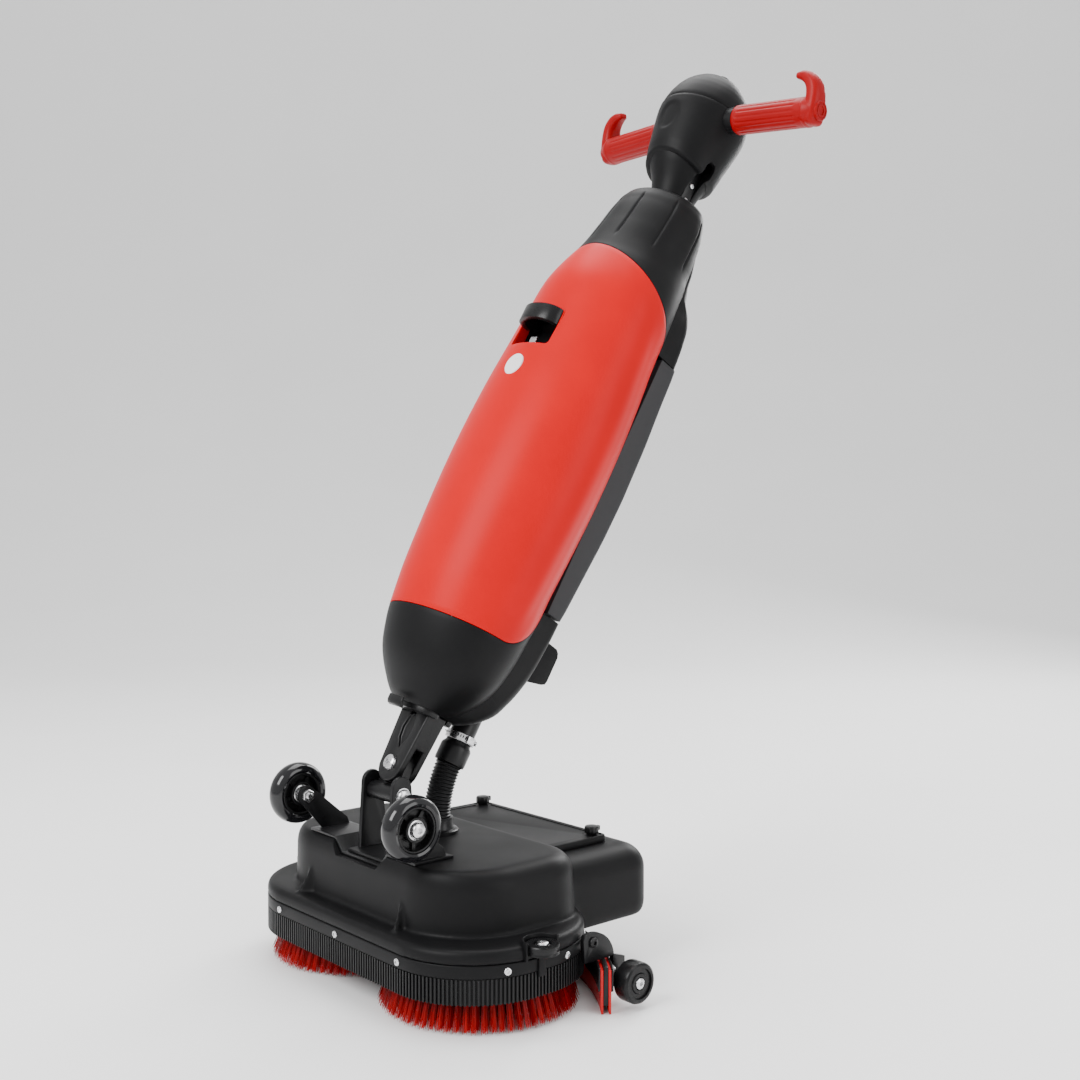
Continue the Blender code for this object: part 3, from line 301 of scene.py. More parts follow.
def soften(target, width, segments=2, angle=35):
    """Rounds every edge that is sharper than the angle."""
    bevel = target.modifiers.new("soften", "BEVEL")
    bevel.width = width
    bevel.segments = segments
    bevel.limit_method = "ANGLE"
    bevel.angle_limit = math.radians(angle)
    bevel.use_clamp_overlap = True
    return target


def settle(target):
    """Turns what the modifiers make into the plain mesh."""
    graph = bpy.context.evaluated_depsgraph_get()
    mesh = bpy.data.meshes.new_from_object(target.evaluated_get(graph))
    target.modifiers.clear()
    target.data = mesh
    for name in target.get("helpers", []):
        bpy.data.objects.remove(bpy.data.objects[name])
    target["helpers"] = []
    return target


def finish(target, body, finish_name, stands_for=(), angle=32):
    """Settles the piece, gives it its finish and lets it ride on its body."""
    settle(target)
    mesh = target.data
    mesh.materials.clear()
    mesh.materials.append(FINISHES[finish_name])
    mesh.shade_smooth()
    mesh.set_sharp_from_angle(angle=math.radians(angle))
    del target["helpers"]
    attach(target, body)
    if stands_for:
        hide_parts(*stands_for)
    return target


def cad_copy(node, name):
    """A copy of a CAD node with its loose triangles merged into whole faces."""
    source = frame["nodes"][node]
    made = bpy.data.objects.new(name, source.data.copy())
    bpy.context.scene.collection.objects.link(made)
    weld = made.modifiers.new("merge", "WELD")
    weld.merge_threshold = 0.00001
    flat = made.modifiers.new("flatten", "DECIMATE")
    flat.decimate_type = "DISSOLVE"
    flat.angle_limit = math.radians(1.5)
    return settle(made)


# ---------- node trees ----------

class Nodes:
    """A node tree with short ways to add nodes and set their sockets."""

    def __init__(self, tree):
        self.tree = tree

    def add(self, kind, sockets=None, **settings):
        node = self.tree.nodes.new(kind)
        for name, value in settings.items():
            setattr(node, name, value)
        for key, value in (sockets or {}).items():
            if isinstance(value, bpy.types.NodeSocket):
                self.tree.links.new(value, node.inputs[key])
            else:
                node.inputs[key].default_value = value
        return node


def geometry_tree(name, inputs):
    """An empty Geometry Nodes tree with its named inputs. Gives the tree, its entry and its builder."""
    tree = bpy.data.node_groups.new(name, "GeometryNodeTree")
    tree.interface.new_socket("Geometry", in_out="INPUT", socket_type="NodeSocketGeometry")
    for label, kind, default in inputs:
        socket = tree.interface.new_socket(label, in_out="INPUT", socket_type=kind)
        if default is not None:
            socket.default_value = default
    tree.interface.new_socket("Geometry", in_out="OUTPUT", socket_type="NodeSocketGeometry")
    nodes = Nodes(tree)
    return tree, nodes.add("NodeGroupInput").outputs, nodes


def copies_tree():
    """Puts a copy of one small shape on each point, turned and sized by the point's own attributes."""
    tree, entry, nodes = geometry_tree("Copies on points", (
        ("Copy", "NodeSocketObject", None), ("Finish", "NodeSocketMaterial", None),
        ("Spin", "NodeSocketFloat", 0.0), ("Size Variation", "NodeSocketFloat", 0.0),
        ("Seed", "NodeSocketInt", 0)))
    shape = nodes.add("GeometryNodeObjectInfo", {"Object": entry["Copy"]})
    turn = nodes.add("GeometryNodeInputNamedAttribute", {"Name": "turn"}, data_type="FLOAT_VECTOR")
    size = nodes.add("GeometryNodeInputNamedAttribute", {"Name": "size"}, data_type="FLOAT_VECTOR")
    spin = nodes.add("FunctionNodeRandomValue", {2: 0.0, 3: entry["Spin"], 8: entry["Seed"]},
                     data_type="FLOAT")
    least = nodes.add("ShaderNodeMath", {0: 1.0, 1: entry["Size Variation"]}, operation="SUBTRACT")
    vary = nodes.add("FunctionNodeRandomValue", {2: least.outputs[0], 3: 1.0, 8: entry["Seed"]},
                     data_type="FLOAT")
    base = nodes.add("FunctionNodeEulerToRotation", {"Euler": turn.outputs[0]})
    about = nodes.add("FunctionNodeAxisAngleToRotation", {"Axis": (0, 0, 1), "Angle": spin.outputs[1]})
    rotation = nodes.add("FunctionNodeRotateRotation",
                         {"Rotation": base.outputs[0], "Rotate By": about.outputs[0]},
                         rotation_space="LOCAL")
    scale = nodes.add("ShaderNodeVectorMath", {0: size.outputs[0], 3: vary.outputs[1]}, operation="SCALE")
    points = nodes.add("GeometryNodeInstanceOnPoints", {
        "Points": entry["Geometry"], "Instance": shape.outputs["Geometry"],
        "Rotation": rotation.outputs[0], "Scale": scale.outputs[0]})
    real = nodes.add("GeometryNodeRealizeInstances", {"Geometry": points.outputs[0]})
    painted = nodes.add("GeometryNodeSetMaterial", {"Geometry": real.outputs[0], "Material": entry["Finish"]})
    nodes.add("NodeGroupOutput", {"Geometry": painted.outputs[0]})
    return tree


def hose_tree():
    """Sweeps a ring of wave-like height along a path, as a corrugated hose has."""
    tree, entry, nodes = geometry_tree("Corrugated hose", (
        ("Radius", "NodeSocketFloat", 0.0165), ("Ring Depth", "NodeSocketFloat", 0.0016),
        ("Ring Pitch", "NodeSocketFloat", 0.0042), ("Sides", "NodeSocketInt", 40),
        ("Finish", "NodeSocketMaterial", None)))
    step = nodes.add("ShaderNodeMath", {0: entry["Ring Pitch"], 1: 10.0}, operation="DIVIDE")
    fine = nodes.add("GeometryNodeResampleCurve", {"Curve": entry["Geometry"], "Length": step.outputs[0]},
                     mode="LENGTH")
    place = nodes.add("GeometryNodeSplineParameter")
    rings = nodes.add("ShaderNodeMath", {0: place.outputs["Length"], 1: entry["Ring Pitch"]},
                      operation="DIVIDE")
    angle = nodes.add("ShaderNodeMath", {0: rings.outputs[0], 1: 2 * math.pi}, operation="MULTIPLY")
    wave = nodes.add("ShaderNodeMath", {0: angle.outputs[0]}, operation="COSINE")
    half = nodes.add("ShaderNodeMath", {0: entry["Ring Depth"], 1: 0.5}, operation="MULTIPLY")
    swing = nodes.add("ShaderNodeMath", {0: wave.outputs[0], 1: half.outputs[0]}, operation="MULTIPLY")
    middle = nodes.add("ShaderNodeMath", {0: entry["Radius"], 1: half.outputs[0]}, operation="SUBTRACT")
    radius = nodes.add("ShaderNodeMath", {0: middle.outputs[0], 1: swing.outputs[0]}, operation="ADD")
    ring = nodes.add("GeometryNodeCurvePrimitiveCircle", {"Resolution": entry["Sides"], "Radius": 1.0})
    swept = nodes.add("GeometryNodeCurveToMesh", {
        "Curve": fine.outputs[0], "Profile Curve": ring.outputs[0], "Scale": radius.outputs[0],
        "Fill Caps": True})
    real = nodes.add("GeometryNodeRealizeInstances", {"Geometry": swept.outputs[0]})
    painted = nodes.add("GeometryNodeSetMaterial", {"Geometry": real.outputs[0], "Material": entry["Finish"]})
    nodes.add("NodeGroupOutput", {"Geometry": painted.outputs[0]})
    return tree


def grown(target, tree, values):
    """Runs a tree on the object, with its inputs set by their identifiers, and settles the result."""
    modifier = target.modifiers.new(tree.name, "NODES")
    modifier.node_group = tree
    for item in tree.interface.items_tree:
        if item.in_out == "INPUT" and item.name in values:
            modifier[item.identifier] = values[item.name]
    return settle(target)


def copies(name, shape, places, finish_name, spin=0.0, vary=0.0, seed=0):
    """One mesh of many copies of a small shape. A place is (point, (turn about x, y, z), size)."""
    model = piece(f"{name}_model", shape)
    model.hide_render = True
    spots = piece(name, ([p[0] for p in places], []))
    for key, index in (("turn", 1), ("size", 2)):
        values = [p[index] if hasattr(p[index], "__len__") else (p[index],) * 3 for p in places]
        data = spots.data.attributes.new(key, "FLOAT_VECTOR", "POINT").data
        data.foreach_set("vector", np.array(values, np.float32).ravel())
    grown(spots, TREES["copies"], {"Copy": model, "Finish": FINISHES[finish_name], "Spin": spin,
                                   "Size Variation": vary, "Seed": seed})
    bpy.data.objects.remove(model)
    return spots


# ---------- finishes ----------

FINISHES, TREES = {}, {}


def new_finish(name, colour, roughness, **settings):
    """A Principled material with its steady values, and the node builder for the rest."""
    made = bpy.data.materials.new(name)
    made.use_nodes = True
    shader = made.node_tree.nodes["Principled BSDF"]
    shader.inputs["Base Color"].default_value = (*colour, 1)
    shader.inputs["Roughness"].default_value = roughness
    for key, value in settings.items():
        shader.inputs[key.replace("_", " ")].default_value = value
    made.diffuse_color = (*colour, 1)
    FINISHES[name] = made
    return shader, Nodes(made.node_tree)


def noise(nodes, scale, detail=2.0, stretch=(1, 1, 1)):
    """Noise on the object's own coordinates, in bumps per metre."""
    place = nodes.add("ShaderNodeTexCoord")
    spread = nodes.add("ShaderNodeMapping", {"Vector": place.outputs["Object"], "Scale": stretch})
    return nodes.add("ShaderNodeTexNoise", {"Vector": spread.outputs[0], "Scale": scale,
                                            "Detail": detail}).outputs[0]


def ranged(nodes, value, low, high):
    """A 0.3 to 0.7 noise brought between two values."""
    return nodes.add("ShaderNodeMapRange", {"Value": value, 1: 0.3, 2: 0.7, 3: low, 4: high}).outputs[0]


def tinted(nodes, shader, value, dark, light):
    ramp = nodes.add("ShaderNodeValToRGB", {"Fac": value})
    ramp.color_ramp.elements[0].position = 0.3
    ramp.color_ramp.elements[1].position = 0.7
    ramp.color_ramp.elements[0].color = (*dark, 1)
    ramp.color_ramp.elements[1].color = (*light, 1)
    nodes.tree.links.new(ramp.outputs[0], shader.inputs["Base Color"])


def bumped(nodes, shader, value, strength, depth):
    bump = nodes.add("ShaderNodeBump", {"Height": value, "Strength": strength, "Distance": depth})
    nodes.tree.links.new(bump.outputs[0], shader.inputs["Normal"])


def shaded(colour, share):
    return tuple(c * share for c in colour)


def moulded_finish(name, colour, roughness, grain, depth, spread=0.06, **settings):
    """Moulded plastic or rubber: fine grain, slightly uneven gloss and tone."""
    shader, nodes = new_finish(name, colour, roughness, **settings)
    broad = noise(nodes, 14.0, 4.0)
    tinted(nodes, shader, broad, shaded(colour, 0.95), shaded(colour, 1.04))
    fine = noise(nodes, grain, 3.0)
    mix = nodes.add("ShaderNodeMath", {0: broad, 1: fine}, operation="ADD")
    half = nodes.add("ShaderNodeMath", {0: mix.outputs[0], 1: 0.5}, operation="MULTIPLY")
    rough = ranged(nodes, half.outputs[0], roughness - spread, roughness + spread)
    nodes.tree.links.new(rough, shader.inputs["Roughness"])
    bumped(nodes, shader, fine, 0.5, depth)


def bristle_finish(colour):
    """Nylon filament, darker towards its root."""
    shader, nodes = new_finish("bristle", colour, 0.40, Specular_IOR_Level=0.15)
    place = nodes.add("ShaderNodeTexCoord")
    height = nodes.add("ShaderNodeSeparateXYZ", {0: place.outputs["Object"]})
    # painted shade: 1 at the tips near the floor, 0.25 at the roots under the block
    down = nodes.add("ShaderNodeMapRange", {"Value": height.outputs["Z"], 1: 0.0, 2: 0.042, 3: 1.0, 4: 0.25})
    streak = noise(nodes, 420.0, 2.0, (1, 1, 0.08))
    root_shade_and_streak = nodes.add("ShaderNodeMath", {0: down.outputs[0], 1: ranged(nodes, streak, 0.55, 1.1)},
                     operation="MULTIPLY")
    # the ramp's dark end, 0.12 of the colour, is painted shade at the roots; the streaks are random tone
    ramp = nodes.add("ShaderNodeValToRGB", {"Fac": root_shade_and_streak.outputs[0]})
    ramp.color_ramp.elements[0].color = (*shaded(colour, 0.12), 1)
    ramp.color_ramp.elements[1].color = (*colour, 1)
    nodes.tree.links.new(ramp.outputs[0], shader.inputs["Base Color"])
    nodes.tree.links.new(ranged(nodes, streak, 0.30, 0.45), shader.inputs["Roughness"])


def metal_finish(name, colour, roughness, stretch, depth, metallic=1.0, **settings):
    """Plated or coated metal with drawn marks along one way."""
    shader, nodes = new_finish(name, colour, roughness, Metallic=metallic, **settings)
    marks = noise(nodes, 900.0, 3.0, stretch)
    tinted(nodes, shader, marks, shaded(colour, 0.8), shaded(colour, 1.12))
    nodes.tree.links.new(ranged(nodes, marks, roughness - 0.06, roughness + 0.08), shader.inputs["Roughness"])
    bumped(nodes, shader, marks, 0.3, depth)


def make_finishes(colours):
    moulded_finish("moulded black", colours.black, 0.46, 1500.0, 0.00010, Specular_IOR_Level=0.11)
    moulded_finish("smooth black", colours.black, 0.30, 900.0, 0.00003, Specular_IOR_Level=0.22)
    moulded_finish("glossy red", colours.red, 0.36, 700.0, 0.00002, 0.04, Specular_IOR_Level=0.08)
    moulded_finish("grip red", colours.grip, 0.38, 1200.0, 0.00005, Specular_IOR_Level=0.14)
    bristle_finish(tuple(colours.bristle))
    moulded_finish("blade", (0.45, 0.006, 0.009), 0.42, 900.0, 0.00006, Specular_IOR_Level=0.20)
    moulded_finish("moulded grey", (0.026, 0.026, 0.028), 0.50, 1500.0, 0.00010, Specular_IOR_Level=0.20)
    metal_finish("coated metal", (0.005, 0.005, 0.0055), 0.33, (1, 1, 1), 0.00005, 0.0,
                 Specular_IOR_Level=0.25)
    metal_finish("zinc", (0.66, 0.66, 0.67), 0.24, (0.05, 1, 1), 0.00003)
    moulded_finish("wheel tyre", (0.006, 0.006, 0.007), 0.10, 300.0, 0.00001, 0.03, Specular_IOR_Level=0.35,
                   Coat_Weight=0.15, Coat_Roughness=0.04)
    moulded_finish("hose black", (0.005, 0.005, 0.0055), 0.36, 900.0, 0.00004, Specular_IOR_Level=0.25)
    moulded_finish("badge white", (0.80, 0.77, 0.77), 0.30, 400.0, 0.00002)
    moulded_finish("natural", (0.72, 0.74, 0.76), 0.40, 800.0, 0.00004)
    metal_finish("motor metal", (0.30, 0.31, 0.33), 0.40, (1, 1, 0.05), 0.00004, 0.7)


# ---------- fastenings ----------

def socket_head(radius, height, washer=0.0):
    """A button-head screw with a hex socket, standing on z 0."""
    rim = [(radius, 0.0), (radius, height * 0.35), (radius * 0.90, height * 0.72), (radius * 0.62, height)]
    hex_r = radius * 0.42
    rings = [circle(r, 30, z) for r, z in rim]
    hexagon = []
    for i in range(30):
        a = 2 * math.pi * i / 30
        reach = hex_r * math.cos(math.pi / 6) / math.cos(a % (math.pi / 3) - math.pi / 6)
        hexagon.append((reach * math.cos(a), reach * math.sin(a), height))
    rings += [hexagon, [(x, y, height * 0.35) for x, y, _ in hexagon]]
    head = loft(rings)
    if washer:
        head = together(head, turned([(radius + washer, -0.0010), (radius + washer, -0.0001)], 30))
    return head


def hex_nut(radius, height):
    """A nut with its bolt's end showing, standing on z 0."""
    nut = turned([(radius * 0.96, 0.0), (radius, height * 0.15), (radius, height * 0.85),
                  (radius * 0.92, height)], 6)
    return together(nut, turned([(radius * 0.5, height * 0.5), (radius * 0.5, height * 1.35),
                                 (radius * 0.4, height * 1.5)], 20))


def facing(direction):
    """Turns that bring Z to face a direction."""
    return tuple(Vector(direction).to_track_quat("Z", "Y").to_euler())


# ---------- body sections ----------

def section_row(height):
    """The outline's values at a height, on smooth curves through the table's rows."""
    keys = OUTLINE[:, 0]
    k = int(np.clip(np.searchsorted(keys, height) - 1, 0, len(keys) - 2))
    span = keys[k + 1] - keys[k]
    u = (height - keys[k]) / span
    a, b = OUTLINE[k], OUTLINE[k + 1]
    ma, mb = SLOPES[k] * span, SLOPES[k + 1] * span
    return ((2*u**3 - 3*u**2 + 1) * a + (u**3 - 2*u**2 + u) * ma + (3*u**2 - 2*u**3) * b + (u**3 - u**2) * mb)


SLOPES = np.gradient(OUTLINE, OUTLINE[:, 0], axis=0)


def body_point(column, height, inset=0.0):
    """A point of the body's outline. Columns run from 0 at the front's middle to the back's middle."""
    _, half, centre, front, rear, back_half, back, corner = section_row(height)
    half, front, rear, back = half - inset, front - inset, rear - inset, back - inset
    back_half = min(back_half - inset, half * 0.94)
    corner = max(min(corner, back_half * 0.6) - inset, 0.002)
    k = abs(column)
    meet = math.asin(back_half / half)
    if k <= FRONT:
        a = math.pi / 2 * k / FRONT
        x, y = half * math.sin(a), centre - front * math.cos(a)
    elif k <= SEAM:
        a = (math.pi / 2 - meet) * (k - FRONT) / SIDE
        x, y = half * math.cos(a), centre + rear * math.sin(a)
    else:
        corner_y = max(back - corner, centre + rear * math.cos(meet) + 0.001)
        turn = min((k - SEAM) / CORNER, 1.0) * math.pi / 2
        along = max((k - SEAM - CORNER) / BACK, 0.0)
        x = (back_half - corner) * (1 - along) + corner * math.cos(turn)
        y = corner_y + (back - corner_y) * math.sin(turn)
    return (math.copysign(x, column) if column else 0.0, y, height)


def low_seam(column):
    u = min(abs(column) / SEAM, 1.0)
    return 0.176 + 0.064 * max(0.0, (u - 0.66) / 0.34) ** 2


def high_seam(column):
    u = min(abs(column) / SEAM, 1.0)
    return 0.702 - 0.090 * u ** 1.7


def all_columns(step=1.0):
    last = FRONT + SIDE + CORNER + BACK
    count = int(last / step)
    return [k * step for k in range(-count + 1, count + 1)]


def walled_patch(columns, rows, height_at, inset_at, wall):
    """A curved wall over a range of columns, from its outer and inner grid."""
    grids = []
    for depth in (0.0, wall):
        grids.append([body_point(c, height_at(c, r / rows), depth + inset_at(c, r / rows))
                      for r in range(rows + 1) for c in columns])
    wide = len(columns)
    size = wide * (rows + 1)
    faces = []
    for r in range(rows):
        for i in range(wide - 1):
            a, b = r * wide + i, r * wide + i + 1
            faces.append((a, b, b + wide, a + wide))
            faces.append((size + a, size + a + wide, size + b + wide, size + b))
    for i in range(wide - 1):
        top = rows * wide + i
        faces.append((i, size + i, size + i + 1, i + 1))
        faces.append((top, top + 1, size + top + 1, size + top))
    for r in range(rows):
        left, right = r * wide, r * wide + wide - 1
        faces.append((left, left + wide, size + left + wide, size + left))
        faces.append((right, size + right, size + right + wide, right + wide))
    return grids[0] + grids[1], faces


# ---------- body pieces ----------

def build_front_cover():
    """The red cover, with the crease along each side and the opening for the latch handle."""
    columns = [k * 0.5 for k in range(-2 * SEAM, 2 * SEAM + 1)]

    def height(column, share):
        low, high = low_seam(column) + GAP, high_seam(column) - 0.0008
        return low + (high - low) * share

    def crease(column, share):
        u = abs(column) / SEAM
        fade = smoothstep(0.0, 0.10, share) * smoothstep(1.0, 0.86, share)
        return fade * (0.0024 * smoothstep(0.70, 0.80, u) - 0.0012 * smoothstep(0.86, 0.97, u))
    cover = piece("front_cover_shell", walled_patch(columns, 76, height, crease, SHELL), BODY)
    half, z0, z1 = POCKET
    middle, depth = (z0 + z1) / 2, (z1 - z0) / 2
    opening = [(x, z + middle) for x, z, _ in rounded_rect(half, depth, 0.005, 0, 6)]
    cut(cover, extruded(opening, -0.13, -0.050, axis=1), BODY)
    soften(cover, 0.0007, 2, 50)
    finish(cover, "cover", "glossy red", ["front_cover"])

    rim_out = rounded_rect(half + 0.0010, depth + 0.0010, 0.006, 0, 6)
    rim_in = rounded_rect(half - 0.0008, depth - 0.0008, 0.0042, 0, 6)
    rings = [[(x, y, middle + z) for x, z, _ in ring] for ring, y in
             ((rim_out, -0.0795), (rim_out, -0.066), (rim_in, -0.066), (rim_in, -0.0795))]
    rim = piece("pocket_rim", loft(rings, closed=True), BODY)
    finish(rim, "cover", "glossy red")


def build_pocket():
    """The black cup behind the opening, with the small metal catch in it."""
    half, z0, z1 = POCKET
    cup = piece("pocket_well", box((-half - 0.003, -0.0655, z0 - 0.003),
                                   (half + 0.003, -0.052, z1 + 0.003)), BODY)
    well = [(x, z + (z0 + z1) / 2) for x, z, _ in rounded_rect(half - 0.001, (z1 - z0) / 2 - 0.001, 0.005,
                                                               0, 6)]
    cut(cup, extruded(well, -0.08, -0.054, axis=1), BODY)
    soften(cup, 0.0008)
    finish(cup, "cover", "smooth black", ["pocket_cup"])
    plate = extruded([(-0.0595, 0.5375), (-0.0775, 0.5375), (-0.0795, 0.5395), (-0.0795, 0.5475),
                      (-0.0765, 0.5475),
                      (-0.0765, 0.5405), (-0.0595, 0.5405)], -0.006, 0.006)
    catch = soften(piece("latch_catch", plate, BODY), 0.0005)
    finish(catch, "cover", "zinc")
    z = 0.5405
    screws = copies("latch_screws", socket_head(0.0030, 0.0016), [
        (tuple(BODY @ Vector((0, -0.069, z))), facing(UPWARD), 1.0)], "zinc")
    finish(screws, "cover", "zinc")


def build_latch():
    """The bow handle across the top of the opening."""
    axis_y, z = -0.066, 0.574
    half = POCKET[0] - 0.0016
    outer = [(half * math.sin(a), -0.0745 - 0.0258 * math.cos(a) ** 0.75)
             for a in (math.radians(-88 + 176 * k / 40) for k in range(41))]
    inner = [(x * 0.80, y + 0.0066) for x, y in outer][::-1]
    bow = [(-half, -0.070)] + outer + [(half, -0.070),
                                       (half - 0.0066, -0.070)] + inner + [(-half + 0.0066, -0.070)]
    handle = piece("latch_bow", extruded(bow, z - 0.0105, z + 0.0105, axis=2), BODY)
    for side in (-1, 1):
        low, high = sorted((side * (half - 0.0002), side * (half - 0.0064)))
        ear = extruded(arc((axis_y, z), 0.0085, -90, 90) + [(-0.0755, z + 0.0085), (-0.0755, z - 0.0085)],
                       low, high)
        join(handle, ear, BODY)
        low, high = sorted((side * (half - 0.003), side * (half + 0.0028)))
        join(handle, shifted(along_x(turned([(0.0025, low), (0.0025, high)], 24)), 0, axis_y, z), BODY)
    soften(handle, 0.0014, 3, 40)
    finish(handle, "latch", "smooth black", ["latch_handle"])


def build_badge():
    """A blank round badge under the pocket."""
    height = 0.501
    front = section_row(height)[3]
    disc = along_y(turned([(0.0150, -0.0030), (0.0150, 0.0003), (0.0146, 0.0009), (0.0138, 0.0012),
                           (0.0134, 0.0009), (0.0020, 0.0011)], 64))
    face = placed(disc, Matrix.Rotation(math.radians(180), 4, "Z"))
    badge = piece("badge", shifted(face, 0, -front, height), BODY)
    finish(badge, "cover", "badge white")


def build_boot():
    """The black lower shell with its base plate."""
    columns = all_columns(0.5)
    shares = [k / 26 for k in range(27)]
    bottom = OUTLINE[0, 0]

    def edge(column):
        return low_seam(min(abs(column), SEAM)) - 0.0006

    def ring(share, wall):
        made = []
        for c in columns:
            low = bottom + wall
            made.append(body_point(c, low + (edge(c) - low) * share, wall))
        return made
    rings = [ring(s ** 1.6, 0.0) for s in shares] + [ring(s, SHELL) for s in (1.0, 0.5, 0.0)]
    boot = piece("boot_shell", loft(rings), BODY)
    hose = frame_hose_top()
    cut(boot, shifted(turned([(0.0168, 0.03), (0.0168, 0.14)]), 0, hose.y, 0), BODY)
    soften(boot, 0.0008, 2, 50)
    finish(boot, "body", "moulded black", ["lower_shell"])
    rows = [(0.010, 0.0655), (0.006, 0.0665), (0.005, 0.0705), (0.005, 0.0735)]
    sole = piece("boot_sole", loft([
        [(x * 0.94, y * 0.94, z) for x, y, _ in (body_point(c, 0.0735, inset) for c in columns)]
        for inset, z in rows]), BODY)
    cut(sole, shifted(turned([(0.0168, 0.03), (0.0168, 0.14)]), 0, hose.y, 0), BODY)
    cut(sole, box((-0.0315, -0.002, 0.03), (0.0315, 0.030, 0.14)), BODY)
    finish(sole, "body", "smooth black")
    loop = [(-0.0285, 0.0610), (-0.0330, 0.0625), (-0.0350, 0.0665), (-0.0350, 0.0735), (-0.0320, 0.0735),
            (-0.0320, 0.0675), (-0.0285, 0.0640)]
    keeper = soften(piece("boot_keeper", extruded(loop, -0.014, 0.014), BODY), 0.0006)
    finish(keeper, "body", "coated metal")


def frame_hose_top():
    """Where the hose's pipe stands, in the body's frame."""
    low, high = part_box("hose_clamp")
    middle = BODY.inverted() @ ((low + high) / 2)
    return Vector((0.0, round(middle.y, 3) - 0.0, middle.z))


def build_tank():
    """The grey tank down the back, with a framed rear face."""
    half, z0, z1 = 0.0612, 0.2432, 0.6108
    step, front, narrow = 0.0745, 0.046, 0.0525
    bow = ((0.243, 0.1030), (0.300, 0.1075), (0.360, 0.1125), (0.420, 0.1145), (0.500, 0.1125),
           (0.560, 0.1085),
           (0.611, 0.1065))

    def ring(inset, z):
        back = float(np.interp(z, *zip(*bow)))
        right = [(narrow - inset, front + inset), (narrow - inset, step + inset),
                 (half - inset, step + inset)]
        right += arc((half - 0.007, back - 0.007), 0.007 - inset, 0, 90, 8)
        right += [(0.044, back - inset), (0.0425, back - 0.0016 - inset), (0.0180, back - 0.0016 - inset),
                  (0.0165, back - inset)]
        return [(x, y, z) for x, y in right] + [(-x, y, z) for x, y in right[::-1]]
    heights = [z0 + (z1 - z0) * k / 24 for k in range(25)]
    rings = [ring(0.0008, z0)] + [ring(0, z) for z in heights[1:-1]] + [ring(0.0006, z1)]
    tank = piece("tank_back", loft(rings), BODY)
    soften(tank, 0.0007, 2, 35)
    finish(tank, "body", "moulded grey", ["recovery_tank"])
    cap_z = 0.545
    cap = along_y(turned([(0.0165, -0.001), (0.0165, 0.0008), (0.0158, 0.0014), (0.0120, 0.0015)], 48))
    back = float(np.interp(cap_z, *zip(*bow)))
    drain = piece("tank_filler_cap", shifted(cap, 0, back - 0.0018, cap_z), BODY)
    bar = box((-0.0125, back - 0.001, cap_z - 0.0022), (0.0125, back + 0.0005, cap_z + 0.0022))
    join(drain, bar, BODY)
    soften(drain, 0.0004)
    finish(drain, "body", "smooth black")


COLLAR_GROOVES = (4.8, 16.0, 27.5)


def build_collar():
    """The black upper shell, with long grooves and a shoulder down to the cover's seam."""
    columns = all_columns(0.25)
    top = OUTLINE[-1, 0]

    def edge(column):
        return 0.6118 if abs(column) > SEAM else high_seam(column)

    def groove(column, height):
        near = min(abs(abs(column) - g) for g in COLLAR_GROOVES)
        length = smoothstep(0.716, 0.730, height) * smoothstep(0.803, 0.792, height)
        return 0.0017 * length * math.exp(-(near / 0.34) ** 2)

    def ring(share, wall):
        made = []
        for c in columns:
            z = edge(c) + (top - (0.003 if wall else 0.0) - edge(c)) * share
            made.append(body_point(c, z, wall if wall else groove(c, z)))
        return made
    rings = [ring(k / 56, 0.0) for k in range(57)] + [ring(s, SHELL) for s in (1.0, 0.7, 0.4, 0.0)]
    collar = piece("collar_shell", loft(rings, closed=True), BODY)
    soften(collar, 0.0008, 2, 55)
    finish(collar, "body", "moulded black", ["collar"], angle=40)


def build_rear_block():
    outline = [(0.1000, 0.1590), (0.1340, 0.1675), (0.1395, 0.1705), (0.1408, 0.1760), (0.1408, 0.2080),
               (0.1385, 0.2135), (0.1340, 0.2170), (0.1000, 0.2200)]
    block = piece("parking_block", extruded(outline, -0.036, 0.036), BODY)
    cut(block, box((-0.028, 0.1390, 0.178), (0.028, 0.16, 0.206)), BODY)
    soften(block, 0.0022, 3)
    finish(block, "body", "moulded black", ["rear_block"])


# ---------- head and handle ----------

def head_ring(radius, z, segments=96, dent=0.0, arch=0.0):
    """A ring of the head, with a soft oval dent in front, and its height raised in front by the arch."""
    ring = []
    for i in range(segments):
        a = 2 * math.pi * i / segments
        off = math.remainder(a + math.pi / 2, 2 * math.pi)
        lift = arch * max(0.0, math.cos(off)) ** 1.5
        reach = math.hypot(off / 0.30, (z - 0.924) / 0.021)
        depth = 0.0016 * (1 - smoothstep(0.78, 1.0, reach)) if dent else 0.0
        ring.append(((radius - depth) * math.cos(a), HEAD_Y + (radius - depth) * math.sin(a), z + lift))
    return ring


